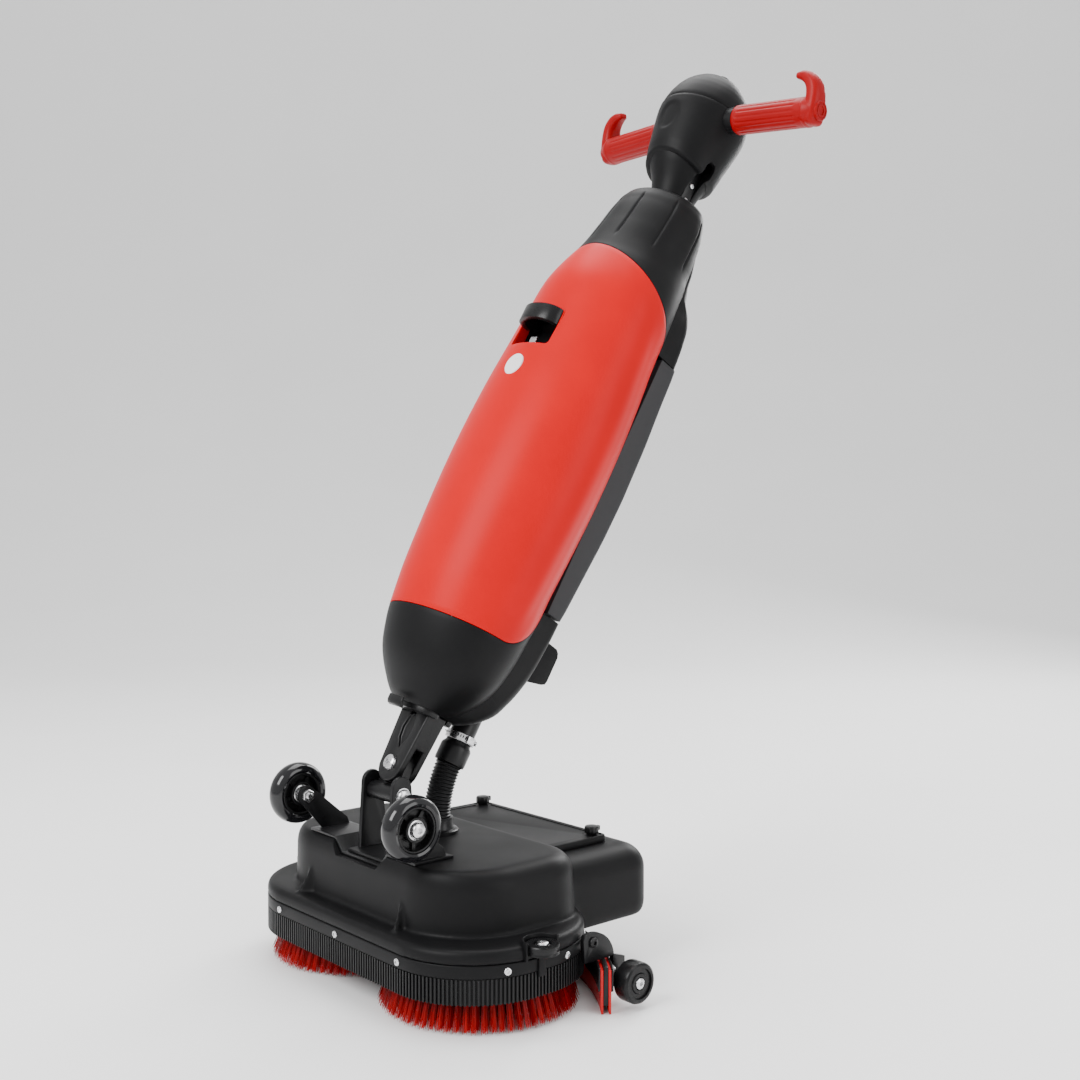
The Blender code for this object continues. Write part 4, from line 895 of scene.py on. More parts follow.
def build_head():
    """Housing, cap and control panel on the neck."""
    keys = [(0.8620, 0.0440), (0.8630, 0.0470), (0.8660, 0.0488), (0.884, 0.0527), (0.900, 0.0555),
            (0.918, 0.0585),
            (0.932, 0.0608), (0.944, 0.0624), (0.9545, 0.0627), (0.9555, 0.0620)]
    zs = [k / 44 for k in range(45)]
    heights = [keys[0][0] + (keys[-1][0] - keys[0][0]) * s for s in zs]
    radii = np.interp(heights, [k[0] for k in keys], [k[1] for k in keys])
    def arch(z):
        return 0.013 * (1 - smoothstep(keys[0][0], 0.900, z))
    outer = [head_ring(r + 0.10 * arch(z), z, dent=1.0, arch=arch(z)) for z, r in zip(heights, radii)]
    inner = [head_ring(r, z, arch=arch(z)) for z, r in ((0.9555, 0.0570), (0.918, 0.0530), (0.8800, 0.0470),
                                                        (0.8620, 0.0420))]
    housing = piece("head_shell", loft(outer + inner, closed=True), BODY)
    cut(housing, shifted(along_x(turned([(BAR_R + 0.0042, -0.08), (BAR_R + 0.0042, 0.08)])), 0, *BAR_AT),
        BODY)
    for side in (-1, 1):
        slot = [(0.0085 * x + 0.0235, z) for x, z in ((-1, 0.83), (1, 0.83), (1, 0.876), (0.6, 0.8825),
                                                      (-0.6, 0.8825),
                                                      (-1, 0.876))]
        low, high = sorted((side * 0.0292, side * 0.075))
        cut(housing, extruded(slot, low, high), BODY)
    soften(housing, 0.0010, 2, 40)
    finish(housing, "body", "moulded black", ["head_housing"], angle=40)

    keys = [(0.9565, 0.0612), (0.9572, 0.0620), (0.966, 0.0606), (0.975, 0.0585), (0.985, 0.0548),
            (0.994, 0.0500),
            (1.002, 0.0440), (1.009, 0.0370), (1.0135, 0.0300), (1.016, 0.0225)]
    heights = [keys[0][0] + (keys[-1][0] - keys[0][0]) * (1 - (1 - k / 32) ** 2) for k in range(33)]
    radii = np.interp(heights, [k[0] for k in keys], [k[1] for k in keys])
    rings = [head_ring(r, z) for z, r in zip(heights, radii)]
    cap = piece("head_dome", loft([head_ring(0.055, 0.9565)] + rings), BODY)
    cut(cap, shifted(along_x(turned([(BAR_R + 0.0042, -0.08), (BAR_R + 0.0042, 0.08)])), 0, *BAR_AT), BODY)
    brim = [rounded_rect(0.0225 - t, 0.0180 - t, 0.010 - t, z, 8, HEAD_Y)
            for z, t in ((1.004, 0), (1.0182, 0), (1.0192, 0.0010), (1.0192, 0.0022), (1.0180, 0.0026))]
    join(cap, loft(brim), BODY)
    for side in (-1, 1):
        cut(cap, shifted(turned([(0.0056, 0.0), (0.0056, 0.02)]), side * 0.009, HEAD_Y, 1.0150), BODY)
    soften(cap, 0.0007, 2, 40)
    finish(cap, "body", "moulded black", ["head_cap"], angle=40)
    for side, name in SIDES:
        key = turned([(0.0050, 1.0166), (0.0050, 1.0200), (0.0046, 1.0208), (0.0036, 1.0211),
                      (0.0020, 1.0207)])
        made = piece(f"key_{name}", shifted(key, side * 0.009, HEAD_Y), BODY)
        finish(made, f"button_{name}", "grip red" if side > 0 else "natural", [f"button_{name}"])


def build_neck():
    """The neck, with a strap and two screws down each side."""
    keys = [(0.8170, 0.0275), (0.8215, 0.0285), (0.835, 0.0302), (0.8500, 0.0345), (0.8640, 0.0415),
            (0.8780, 0.0470)]
    rings = [circle(r, 72, z, (0, 0.0245 - (z - 0.834) * 0.14)) for z, r in keys]
    neck = piece("neck_shell", loft(rings), BODY)
    for side in (-1, 1):
        low, high = sorted((side * 0.0268, side * 0.06))
        cut(neck, box((low, 0.0145, 0.80), (high, 0.0325, 0.90)), BODY)
    soften(neck, 0.0008, 2, 40)
    finish(neck, "body", "moulded black", ["neck"])
    for side, name in SIDES:
        low, high = sorted((side * 0.0262, side * 0.0290))
        strap = soften(piece(f"neck_strap_{name}", box((low, 0.0155, 0.8190), (high, 0.0315, 0.8800)),
                             BODY), 0.0008)
        finish(strap, "body", "coated metal")
        at = [tuple(BODY @ Vector((side * 0.0290, 0.0235, z))) for z in (0.8275, 0.8505)]
        turn = facing(ACROSS * side)
        screws = copies(f"neck_screws_{name}", socket_head(0.0038, 0.0022, 0.0010),
                        [(p, turn, 1.0) for p in at], "zinc")
        finish(screws, "body", "zinc")


def build_handlebar():
    """The tube through the head, with a sleeve ring where each grip starts."""
    high = GRIP_START + GRIP_LENGTH - 0.004
    for side, name in SIDES:
        turn = Matrix.Translation((side * GRIP_BEND_X, BAR_AT[0] + 0.0003, BAR_AT[1])) @ Matrix.Rotation(
            side * GRIP_SWEEP, 4, "Z")
        half = along_x(turned([(BAR_R, -0.050), (BAR_R, high)], 40))
        tube = piece(f"bar_{name}", sided(half, side), BODY @ turn)
        finish(tube, "body", "coated metal", ["handlebar_tube"] if side > 0 else ())
        sleeve = [(GRIP_R - 0.0026, GRIP_START - 0.013), (GRIP_R - 0.0012, GRIP_START - 0.0118),
                  (GRIP_R - 0.0012, GRIP_START - 0.0006)]
        ring = piece(f"grip_sleeve_{name}", sided(along_x(turned(sleeve, 56)), side), BODY @ turn)
        finish(ring, "body", "smooth black")
        build_grip(side, name, BODY @ turn @ Matrix.Rotation(LEAN, 4, "X"))


def build_grip(side, name, place):
    """A fluted grip with its hook and the screw boss on the hook's face."""
    segments, flutes = 160, 16
    start, end = GRIP_START, GRIP_START + GRIP_LENGTH
    rings = []
    for k in range(61):
        x = start + (end - start) * k / 60
        depth = 0.00085 * smoothstep(start + 0.006, start + 0.010, x) * smoothstep(end - 0.010, end - 0.014,
                                                                                   x)
        shrink = 0.0016 * (1 - smoothstep(start - 0.001, start + 0.0022, x))
        ring = []
        for i in range(segments):
            a = 2 * math.pi * i / segments
            wave = 0.5 + 0.5 * math.cos(flutes * a)
            radius = GRIP_R - shrink - depth * wave ** 3
            ring.append((radius * math.cos(a), radius * math.sin(a), x))
        rings.append(ring)
    grip = piece(f"grip_{name}_sleeve", sided(along_x(loft(rings)), side), place)
    finish(grip, "body", "grip red", [f"grip_{name}"], angle=50)
    build_hook(side, name, place, end)


def build_hook(side, name, place, face):
    """The upright hook at a grip's end, a finger that curls inwards, with a screw boss on its outer face."""
    spine = [(0.0075, -0.012, 0.0085, 0.0155), (0.0085, 0.000, 0.0098, 0.0165),
             (0.0090, 0.012, 0.0100, 0.0150),
             (0.0084, 0.024, 0.0098, 0.0135), (0.0052, 0.034, 0.0092, 0.0125),
             (-0.0015, 0.0415, 0.0082, 0.0112),
             (-0.0100, 0.0455, 0.0066, 0.0096), (-0.0165, 0.0462, 0.0048, 0.0075)]
    fine = np.linspace(0, len(spine) - 1, 34)
    table = np.array(spine)
    slopes = np.gradient(table, axis=0)
    rings = []
    for u in fine:
        k = min(int(u), len(spine) - 2)
        t = u - k
        row = ((2*t**3 - 3*t**2 + 1) * table[k] + (t**3 - 2*t**2 + t) * slopes[k]
               + (3*t**2 - 2*t**3) * table[k + 1] + (t**3 - t**2) * slopes[k + 1])
        ahead = np.array([np.interp(u, range(len(spine)), slopes[:, 0]),
                          np.interp(u, range(len(spine)), slopes[:, 1])])
        ahead = ahead / np.linalg.norm(ahead)
        ring = []
        for i in range(36):
            a = 2 * math.pi * i / 36
            c, d = math.cos(a), math.sin(a)
            thick = row[2] * math.copysign(abs(c) ** 0.75, c)
            wide = row[3] * math.copysign(abs(d) ** 0.75, d)
            ring.append((face + row[0] + ahead[1] * thick, wide, row[1] - ahead[0] * thick))
        rings.append(ring)
    def rounded_end(ring, beyond):
        centre = np.mean(ring, axis=0)
        steps = []
        for share, out in ((0.93, 0.35), (0.75, 0.72), (0.45, 0.95)):
            steps.append([tuple(centre + (np.array(p) - centre) * share + np.array(beyond) * out)
                          for p in ring])
        return steps
    foot = rounded_end(rings[0], (0.0, 0.0, -0.0065))[::-1]
    tip = rounded_end(rings[-1], (-0.0048, 0.0, 0.0006))
    hook = piece(f"grip_{name}_hook", sided(loft((foot + rings + tip)[::-1]), side), place)
    end = [(GRIP_R - 0.0005, face - 0.003), (GRIP_R + 0.0004, face - 0.0015),
           (GRIP_R + 0.0004, face + 0.0020),
           (GRIP_R - 0.0012, face + 0.0060), (0.0165, face + 0.0110), (0.0145, face + 0.0138)]
    join(hook, sided(along_x(turned(end, 64)), side), place)
    finish(hook, "body", "grip red", angle=50)
    boss = [(0.0125, 0.0100), (0.0125, 0.0158), (0.0116, 0.0168), (0.0102, 0.0168), (0.0096, 0.0158),
            (0.0084, 0.0158),
            (0.0078, 0.0166), (0.0058, 0.0166), (0.0052, 0.0152), (0.0020, 0.0150)]
    at = shifted(along_x(turned(boss, 56)), face + 0.0030, 0, -0.0005)
    finish(piece(f"grip_{name}_boss", sided(at, side), place), "body", "grip red")


# ---------- pivot and hose ----------

def build_pivot():
    """The clevis, the knuckle and the arm that carry the body, with their bolts."""
    for node, body, width in (("pivot_bracket", "deck", 0.0010), ("knuckle_block", "knuckle", 0.0014),
                              ("body_bracket", "body", 0.0018)):
        part = soften(cad_copy(node, f"{node}_casting"), width, 3, 28)
        finish(part, body, "coated metal", [node])
    pin = together(
        along_x(turned([(0.0050, -0.0330), (0.0050, 0.0330)])),
        placed(socket_head(0.0090, 0.0052, 0.0012), Matrix.Translation((0.0334, 0, 0)) @ Matrix.Rotation(
            math.radians(90), 4, "Y")),
        placed(hex_nut(0.0092, 0.0036), Matrix.Translation((-0.0333, 0, 0)) @ Matrix.Rotation(
            math.radians(-90), 4, "Y")))
    finish(piece("tilt_pin_bolt", shifted(pin, *TILT_AT)), "deck", "zinc", ["tilt_pin"])
    bolt = together(
        along_y(turned([(0.0060, 0.0), (0.0060, 0.0283)])),
        placed(socket_head(0.0098, 0.0052), Matrix.Translation((0, -0.0003, 0)) @ Matrix.Rotation(
            math.radians(90), 4, "X")),
        placed(hex_nut(0.0100, 0.0045), Matrix.Translation((0, 0.0284, 0)) @ Matrix.Rotation(
            math.radians(-90), 4, "X")))
    finish(piece("swing_bolt_set", bolt, BODY), "body", "zinc", ["swing_bolt"])


def hose_point(share):
    """A point of the hose's run from the deck's socket to its cuff under the body."""
    start = Vector((0, 0.028 + DECK_Y, 0.1863))
    end = BODY @ Vector((0, 0.080, 0.034))
    rise = (end - start).length * 0.9
    leave, arrive, u = Vector((0, 0, rise)), UPWARD * rise, share
    return ((2*u**3 - 3*u**2 + 1) * start + (u**3 - 2*u**2 + u) * leave
            + (3*u**2 - 2*u**3) * end + (u**3 - u**2) * arrive)


def build_hose():
    """The corrugated hose in two lengths that bend, its socket, cuff, clamp and pipe."""
    for name, low, high, bodies in (("lower", -0.06, 0.503, ("deck", "knuckle")),
                                    ("upper", 0.497, 1.0, ("knuckle", "body"))):
        curve = bpy.data.curves.new(f"hose_{name}", "CURVE")
        curve.dimensions = "3D"
        spline = curve.splines.new("POLY")
        steps = 24
        spline.points.add(steps)
        for k, point in enumerate(spline.points):
            point.co = (*hose_point(low + (high - low) * k / steps), 1.0)
        path = bpy.data.objects.new(f"hose_{name}_path", curve)
        bpy.context.scene.collection.objects.link(path)
        modifier = path.modifiers.new("hose", "NODES")
        modifier.node_group = TREES["hose"]
        for item in TREES["hose"].interface.items_tree:
            if item.in_out == "INPUT" and item.name == "Finish":
                modifier[item.identifier] = FINISHES["hose black"]
        graph = bpy.context.evaluated_depsgraph_get()
        mesh = bpy.data.meshes.new_from_object(path.evaluated_get(graph))
        bpy.data.objects.remove(path)
        mesh.shade_smooth()
        hose = bpy.data.objects.new(f"hose_{name}", mesh)
        bpy.context.scene.collection.objects.link(hose)
        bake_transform(hose)
        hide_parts(f"suction_hose_{name}")
    top = DOME_TOP_Z
    socket = turned_ring([(0.0180, 0.140), (0.0180, top), (0.0262, top), (0.0262, top + 0.0035),
                          (0.0245, top + 0.0050),
                          (0.0215, top + 0.0055), (0.0200, top + 0.0080), (0.0195, 0.1850), (0.0188, 0.1860),
                          (0.0150, 0.1860), (0.0140, 0.140)], 72)
    made = piece("hose_foot", shifted(socket, 0, 0.028 + DECK_Y))
    finish(made, "deck", "smooth black", ["hose_socket"])
    y, z = 0.080, 0.034
    pipe = turned([(0.0150, -0.004), (0.0190, -0.003), (0.0196, 0.0), (0.0196, 0.0180), (0.0188, 0.0200),
                   (0.0165, 0.0230), (0.0160, 0.0245), (0.0160, 0.200)], 64)
    finish(piece("hose_cuff", shifted(pipe, 0, y, z), BODY), "body", "hose black", ["suction_pipe"])
    band = turned_ring([(0.0186, 0.0260), (0.0190, 0.0266), (0.0190, 0.0354), (0.0186, 0.0360),
                        (0.0163, 0.0360),
                        (0.0163, 0.0260)], 72)
    slots = []
    for k in range(36):
        a = 2 * math.pi * k / 36
        at = BODY @ Vector((0.0191 * math.cos(a), y + 0.0191 * math.sin(a), z + 0.031))
        out = (BODY.to_3x3() @ Vector((math.cos(a), math.sin(a), 0))).normalized()
        turn = Matrix((out.cross(UPWARD), UPWARD, out)).transposed().to_euler()
        slots.append((tuple(at), tuple(turn), 1.0))
    finish(copies("clamp_slots", box((-0.00055, -0.0032, -0.0002), (0.00055, 0.0032, 0.0001)), slots,
                  "coated metal"),
           "body", "coated metal")
    screw = together(
        box((0.0170, -0.0060, 0.0268), (0.0232, 0.0055, 0.0352)),
        shifted(along_y(turned([(0.0036, -0.0020), (0.0036, 0.0012), (0.0030, 0.0020)], 6)), 0.0206, 0.0072,
                0.0310))
    clamp = soften(piece("hose_clamp_band", shifted(together(band, screw), 0, y, z), BODY), 0.0004)
    finish(clamp, "body", "zinc", ["hose_clamp"])


# ---------- deck ----------

def plan_ring(inset, z, half_x, front_y, rear_y, corner_front, corner_rear, steps=20, draft=0.4):
    """A plan outline of the cover: wide round corners in front, tighter ones behind."""
    ring = []
    for sx, y, corner, start in ((1, rear_y, corner_rear, 0), (-1, rear_y, corner_rear, 90),
                                 (-1, front_y, corner_front, 180), (1, front_y, corner_front, 270)):
        radius = max(corner - inset, 0.004)
        sy = 1 if y == rear_y else -1
        step = inset if sy > 0 else inset * draft
        for k in range(steps + 1):
            a = math.radians(start + 90 * k / steps)
            ring.append((sx * (half_x - inset - radius) + radius * math.cos(a),
                         y - sy * (step + radius) + radius * math.sin(a), z))
    return ring


def build_deck_cover():
    """The moulded cover: rim, dome, two pods and the ribs in front, with its inner corners filleted."""
    rim = [(0.0, 0.0793), (0.0, 0.0870), (0.0012, 0.0915), (0.0045, 0.0943), (0.0110, RIM_TOP_Z)]
    cover = piece("deck_shell", loft([rounded_rect(SKIRT_HALF[0] - t, SKIRT_HALF[1] - t, SKIRT_CORNER - t, z)
                                      for t, z in rim]), DECK)
    dome = [(0.0, 0.086)] + [(0.002 * k / 6, 0.098 + 0.040 * k / 6) for k in range(7)]
    dome += [(0.026 - 0.024 * math.cos(a), 0.1425 + 0.024 * math.sin(a))
             for a in (math.radians(90 * k / 9) for k in range(10))]
    join(cover, loft([plan_ring(t, z, DOME_HALF[0], -DOME_HALF[1], DOME_REAR_Y, 0.092, 0.060) for t,
                      z in dome]), DECK)
    pods = [(0.012, 0.0605), (0.004, 0.0635), (0.0012, 0.0690), (0.0, 0.0760)]
    pods += [(0.034 - 0.034 * math.cos(a), 0.1188 + 0.030 * math.sin(a))
             for a in (math.radians(90 * k / 10) for k in range(11))]
    join(cover, loft([plan_ring(t, z, POD_HALF_X, 0.030, POD_REAR_Y, 0.05, 0.034, 14) for t, z in pods]),
         DECK)
    for side in (-1, 1):
        fin = ([(0.079, -0.085, 0.090), (0.101, -0.085, 0.090), (0.104, -0.110, 0.090),
                (0.101, -0.1115, 0.090),
                (0.0905, -0.0870, 0.1370), (0.0925, -0.0870, 0.1370), (0.0925, -0.0850, 0.1370)],
               [(0, 3, 2, 1), (0, 4, 3), (3, 4, 5, 2), (2, 5, 6, 1), (0, 1, 6, 4), (4, 6, 5)])
        join(cover, sided(fin, side), DECK)
    cut(cover, box((-0.0475, 0.2020, 0.0), (0.0475, 0.30, 0.30)), DECK)
    settle(cover)
    remesh = cover.modifiers.new("even", "REMESH")
    remesh.mode = "VOXEL"
    remesh.voxel_size = COVER_VOXEL
    fillet = cover.modifiers.new("fillet", "SMOOTH")
    fillet.factor = 0.5
    fillet.iterations = COVER_FILLET_PASSES
    thin = cover.modifiers.new("thin", "DECIMATE")
    thin.ratio = COVER_KEPT_SHARE
    settle(cover)

    skirt_room = [rounded_rect(SKIRT_HALF[0] + 0.004, SKIRT_HALF[1] + 0.004, SKIRT_CORNER + 0.004, z)
                  for z in (0.03, 0.0794)]
    cut(cover, loft(skirt_room), DECK)
    half, y0, y1 = BATTERY_COVER
    seat = [rounded_rect(half, (y1 - y0) / 2, 0.008, z, 8, (y0 + y1) / 2) for z in (0.149, 0.30)]
    cut(cover, loft(seat), DECK)
    trough = [(-0.0560, 0.30), (-0.0560, DOME_TOP_Z), (-0.0412, 0.150), (0.0412, 0.150),
              (0.0560, DOME_TOP_Z), (0.0560, 0.30)]
    cut(cover, extruded(trough, -0.120, -0.012, axis=1), DECK)
    for side in (-1, 1):
        well = shifted(turned([(0.0205, 0.0834), (0.0205, 0.12)], 56), side * BUMPER_AT.x, BUMPER_AT.y)
        cut(cover, well)
    finish(cover, "deck", "moulded black", ["deck_cover", "battery_left", "battery_right", "brush_motor_left",
                                            "brush_motor_right"], angle=42)
    rooms = []
    for side in (-1, 1):
        rim_wall = turned_ring([(0.0235, 0.0790), (0.0235, 0.0980), (0.0229, 0.0992), (0.0212, 0.0992),
                                (0.0206, 0.0980),
                                (0.0206, 0.0790)], 64)
        keep = shifted(rim_wall, side * BUMPER_AT.x, BUMPER_AT.y)
        made = piece(f"bumper_guard_{'right' if side > 0 else 'left'}", keep)
        low, high = sorted((side * 0.2345, side * 0.30))
        cut(made, box((low, BUMPER_AT.y - 0.05, 0.0), (high, BUMPER_AT.y + 0.05, 0.2)))
        rooms.append(made)
        soften(made, 0.0004)
        finish(made, "deck", "moulded black")


def build_battery_cover():
    """The lid between the pods, with a raised lip at each end."""
    half, y0, y1 = BATTERY_COVER
    middle, depth = (y0 + y1) / 2, (y1 - y0) / 2
    rings = [(0.0006, 0.1492), (0.0004, 0.1496), (0.0004, 0.1562), (0.0012, 0.1576), (0.0030, 0.1582)]
    lid = piece("battery_lid", loft([rounded_rect(half - t, depth - t, 0.0085 - t * 0.9, z, 10, middle)
                                     for t, z in rings]), DECK)
    cut(lid, loft([rounded_rect(half - 0.014, depth - 0.010, 0.006, z, 8, middle) for z in (0.1574, 0.17)]),
        DECK)
    for side in (-1, 1):
        room = turned([(0.0120, 0.1570), (0.0120, 0.20)])
        cut(lid, shifted(room, side * KNOB_AT.x, KNOB_AT.y))
    soften(lid, 0.0008, 2, 40)
    finish(lid, "deck", "moulded black", ["battery_cover"])
    for side, name in SIDES:
        x, y = side * KNOB_AT.x, KNOB_AT.y
        rings = []
        for radius, z in ((0.0066, 0.1575), (0.0066, 0.1600), (0.0084, 0.1602), (0.0088, 0.1610),
                          (0.0088, 0.1668),
                          (0.0080, 0.1682), (0.0062, 0.1686)):
            rings.append([((radius + (0.0003 * math.cos(12 * a) if radius > 0.008 else 0.0)) * math.cos(a),
                           (radius + (0.0003 * math.cos(12 * a) if radius > 0.008 else 0.0)) * math.sin(a), z)
                          for a in (2 * math.pi * i / 72 for i in range(72))])
        knob = piece(f"knob_{name}", shifted(loft(rings), x, y))
        tab = shifted(box((-0.0022, 0.004, 0.1615), (0.0022, 0.0125, 0.1672)), x, y)
        join(knob, tab)
        soften(knob, 0.0006, 2, 45)
        finish(knob, f"knob_{name}", "smooth black", [f"cover_knob_{name}"])


SKIRT_SCREWS = ((0.0, -0.1195), (0.116, -0.1195), (0.2265, -0.049), (0.2295, 0.038), (0.187, 0.100),
                (0.0, 0.1195),
                (0.100, 0.1195))


def build_skirt():
    """The band round the brushes: smooth above, ribbed below, with its screws."""
    low, mid, top = SKIRT_Z

    def ring(inset, z):
        return rounded_rect(SKIRT_HALF[0] - inset, SKIRT_HALF[1] - inset, SKIRT_CORNER - inset, z, 28)
    band = loft([ring(RIB_RECESS, low), ring(RIB_RECESS, mid), ring(0.0003, mid + 0.0006),
                 ring(0.0, mid + 0.0012),
                 ring(0.0, top - 0.0010), ring(0.0008, top), ring(SKIRT_WALL, top), ring(SKIRT_WALL, low)],
                 closed=True)
    finish(soften(piece("skirt_wall", band, DECK), 0.0004), "deck", "moulded black", ["skirt_band"])
    path = ring(0.0, 0.0)
    lengths = [0.0]
    for a, b in zip(path, path[1:] + path[:1]):
        lengths.append(lengths[-1] + math.dist(a, b))
    places = []
    count = int(lengths[-1] / RIB_PITCH)
    for k in range(count):
        at = lengths[-1] * k / count
        i = int(np.searchsorted(lengths, at, side="right")) - 1
        a, b = Vector(path[i]), Vector(path[(i + 1) % len(path)])
        if (b - a).length < 1e-6:
            continue
        ahead = (b - a).normalized()
        point = a + ahead * (at - lengths[i])
        turn = math.atan2(ahead.y, ahead.x)
        places.append(((point.x, point.y + DECK_Y, (low + mid) / 2), (0, 0, turn), 1.0))
    half = (mid - low) / 2
    bar = [(-0.0013, 0.0026), (-0.0011, 0.0002), (-0.0008, 0.0), (0.0008, 0.0), (0.0011, 0.0002),
           (0.0013, 0.0026)]
    rib = extruded(bar, -half, half, axis=2)
    finish(copies("skirt_ribs", rib, places, "smooth black"), "deck", "smooth black", angle=50)
    screws = []
    for x, y in SKIRT_SCREWS:
        for side in ((-1, 1) if x else (1,)):
            nearest = min(range(len(path)), key=lambda i: math.dist(path[i][:2], (side * x, y)))
            here = Vector(path[nearest])
            if math.dist(here[:2], (side * x, y)) > 0.02:
                here = Vector((side * x, y, 0))
            out = skirt_normal(here)
            here = here + out * 0.0001
            screws.append(((here.x, here.y + DECK_Y, 0.0712), facing(out), 1.0))
    finish(copies("skirt_screws", socket_head(0.0042, 0.0018), screws, "zinc"), "deck", "zinc")


def skirt_normal(point):
    """The way out of the skirt's outline at a point on it."""
    inner = Vector((SKIRT_HALF[0] - SKIRT_CORNER, SKIRT_HALF[1] - SKIRT_CORNER))
    core = Vector((max(-inner.x, min(inner.x, point.x)), max(-inner.y, min(inner.y, point.y)), 0))
    return (Vector((point.x, point.y, 0)) - core).normalized()


def build_bumpers():
    """A side roller with its bolt and the tab below it."""
    x, y = BUMPER_AT.x, BUMPER_AT.y
    for side, name in SIDES:
        roller = turned_ring([
            (0.0178, 0.0838), (0.0189, 0.0846), (0.0189, 0.0858), (0.0184, 0.0866), (0.0184, 0.0878),
            (0.0189, 0.0886),
            (0.0189, 0.0936), (0.0180, 0.0948), (0.0105, 0.0950), (0.0100, 0.0912), (0.0046, 0.0912),
            (0.0046, 0.0838)], 72)
        finish(piece(f"bumper_wheel_{name}", shifted(roller, side * x, y)), f"bumper_{name}", "smooth black",
               [f"bumper_roller_{name}"])
        bolt = copies(f"bumper_bolt_{name}", together(socket_head(0.0070, 0.0040, 0.0014),
                                                      turned([(0.0040, -0.012), (0.0040, 0.0005)], 20)),
                      [((side * x, y, 0.0928), (0, 0, 0.4), 1.0)], "zinc")
        finish(bolt, "deck", "zinc")
        low, high = sorted((side * 0.2285, side * 0.2345))
        tab = soften(piece(f"bumper_tab_{name}", box((low, y - 0.005, 0.0585), (high, y + 0.005, 0.0838))),
                     0.0008)
        finish(tab, "deck", "moulded black")


def build_wheels():
    """Transport wheels: glossy tyre, spoked core, bearing, bolt and nut; and the bracket that holds them."""
    spoke = box((0.0100, -0.0022, -0.0042), (0.0235, 0.0022, 0.0042))
    for side, name in SIDES:
        place = Matrix.Translation((side * WHEEL_AT.x, WHEEL_AT.y, WHEEL_AT.z)) @ Matrix.Rotation(
            math.radians(90), 4, "Y")
        profile = [(0.0262, -0.0108), (0.0290, -0.0119)]
        profile += [(0.0262 + 0.0111 * math.cos(a) ** 0.72, 0.0119 * math.sin(a))
                    for a in (math.radians(-72 + 144 * k / 28) for k in range(29))]
        profile += [(0.0290, 0.0119), (0.0262, 0.0108)]
        tyre = turned_ring(profile, 96)
        finish(piece(f"tyre_{name}", tyre, place), f"wheel_{name}", "wheel tyre", [f"wheel_tyre_{name}"])
        rim = turned_ring([(0.0259, -0.0100), (0.0259, 0.0100), (0.0246, 0.0108), (0.0232, 0.0104),
                           (0.0226, 0.0060),
                           (0.0226, -0.0060), (0.0232, -0.0104), (0.0246, -0.0108)], 80)
        hub = turned_ring([(0.0138, -0.0105), (0.0142, -0.0095), (0.0142, 0.0095), (0.0138, 0.0105),
                           (0.0112, 0.0105),
                           (0.0112, -0.0105)], 64)
        web = turned_ring([(0.0232, -0.0012), (0.0232, 0.0012), (0.0130, 0.0012), (0.0130, -0.0012)], 64)
        core = together(rim, hub, web)
        finish(soften(piece(f"wheel_rim_{name}", core, place), 0.0004), f"wheel_{name}", "smooth black",
               [f"wheel_core_{name}"])
        spokes = []
        for k in range(5):
            turned_by = (Matrix.Rotation(math.radians(90), 4, "Y") @ Matrix.Rotation(2 * math.pi * k / 5, 4,
                                                                                     "Z"))
            spokes.append((tuple(place.translation), tuple(turned_by.to_euler()), 1.0))
        finish(copies(f"wheel_spokes_{name}", spoke, spokes, "smooth black"), f"wheel_{name}", "smooth black")
        bearing = turned_ring([(0.0110, -0.0098), (0.0110, 0.0098), (0.0098, 0.0102), (0.0094, 0.0092),
                               (0.0074, 0.0092),
                               (0.0070, 0.0100), (0.0054, 0.0100), (0.0054, -0.0100)], 56)
        finish(piece(f"wheel_bearing_{name}", bearing, place), f"wheel_{name}", "zinc")
        head = together(
            turned([(0.0050, -0.0213), (0.0050, 0.0118)], 32),
            shifted(socket_head(0.0088, 0.0046), 0, 0, 0.0118),
            placed(hex_nut(0.0080, 0.0050), Matrix.Translation((0, 0, -0.0214)) @ Matrix.Rotation(
                math.radians(180), 4, "X")))
        bolt = piece(f"wheel_bolt_{name}", sided(along_x(head), side),
                     Matrix.Translation((side * WHEEL_AT.x, WHEEL_AT.y, WHEEL_AT.z)))
        finish(bolt, "deck", "zinc", [f"wheel_axle_bolt_{name}"])
    bracket = soften(cad_copy("wheel_bracket", "wheel_bracket_sheet"), 0.0006, 2, 30)
    finish(bracket, "deck", "coated metal", ["wheel_bracket"])


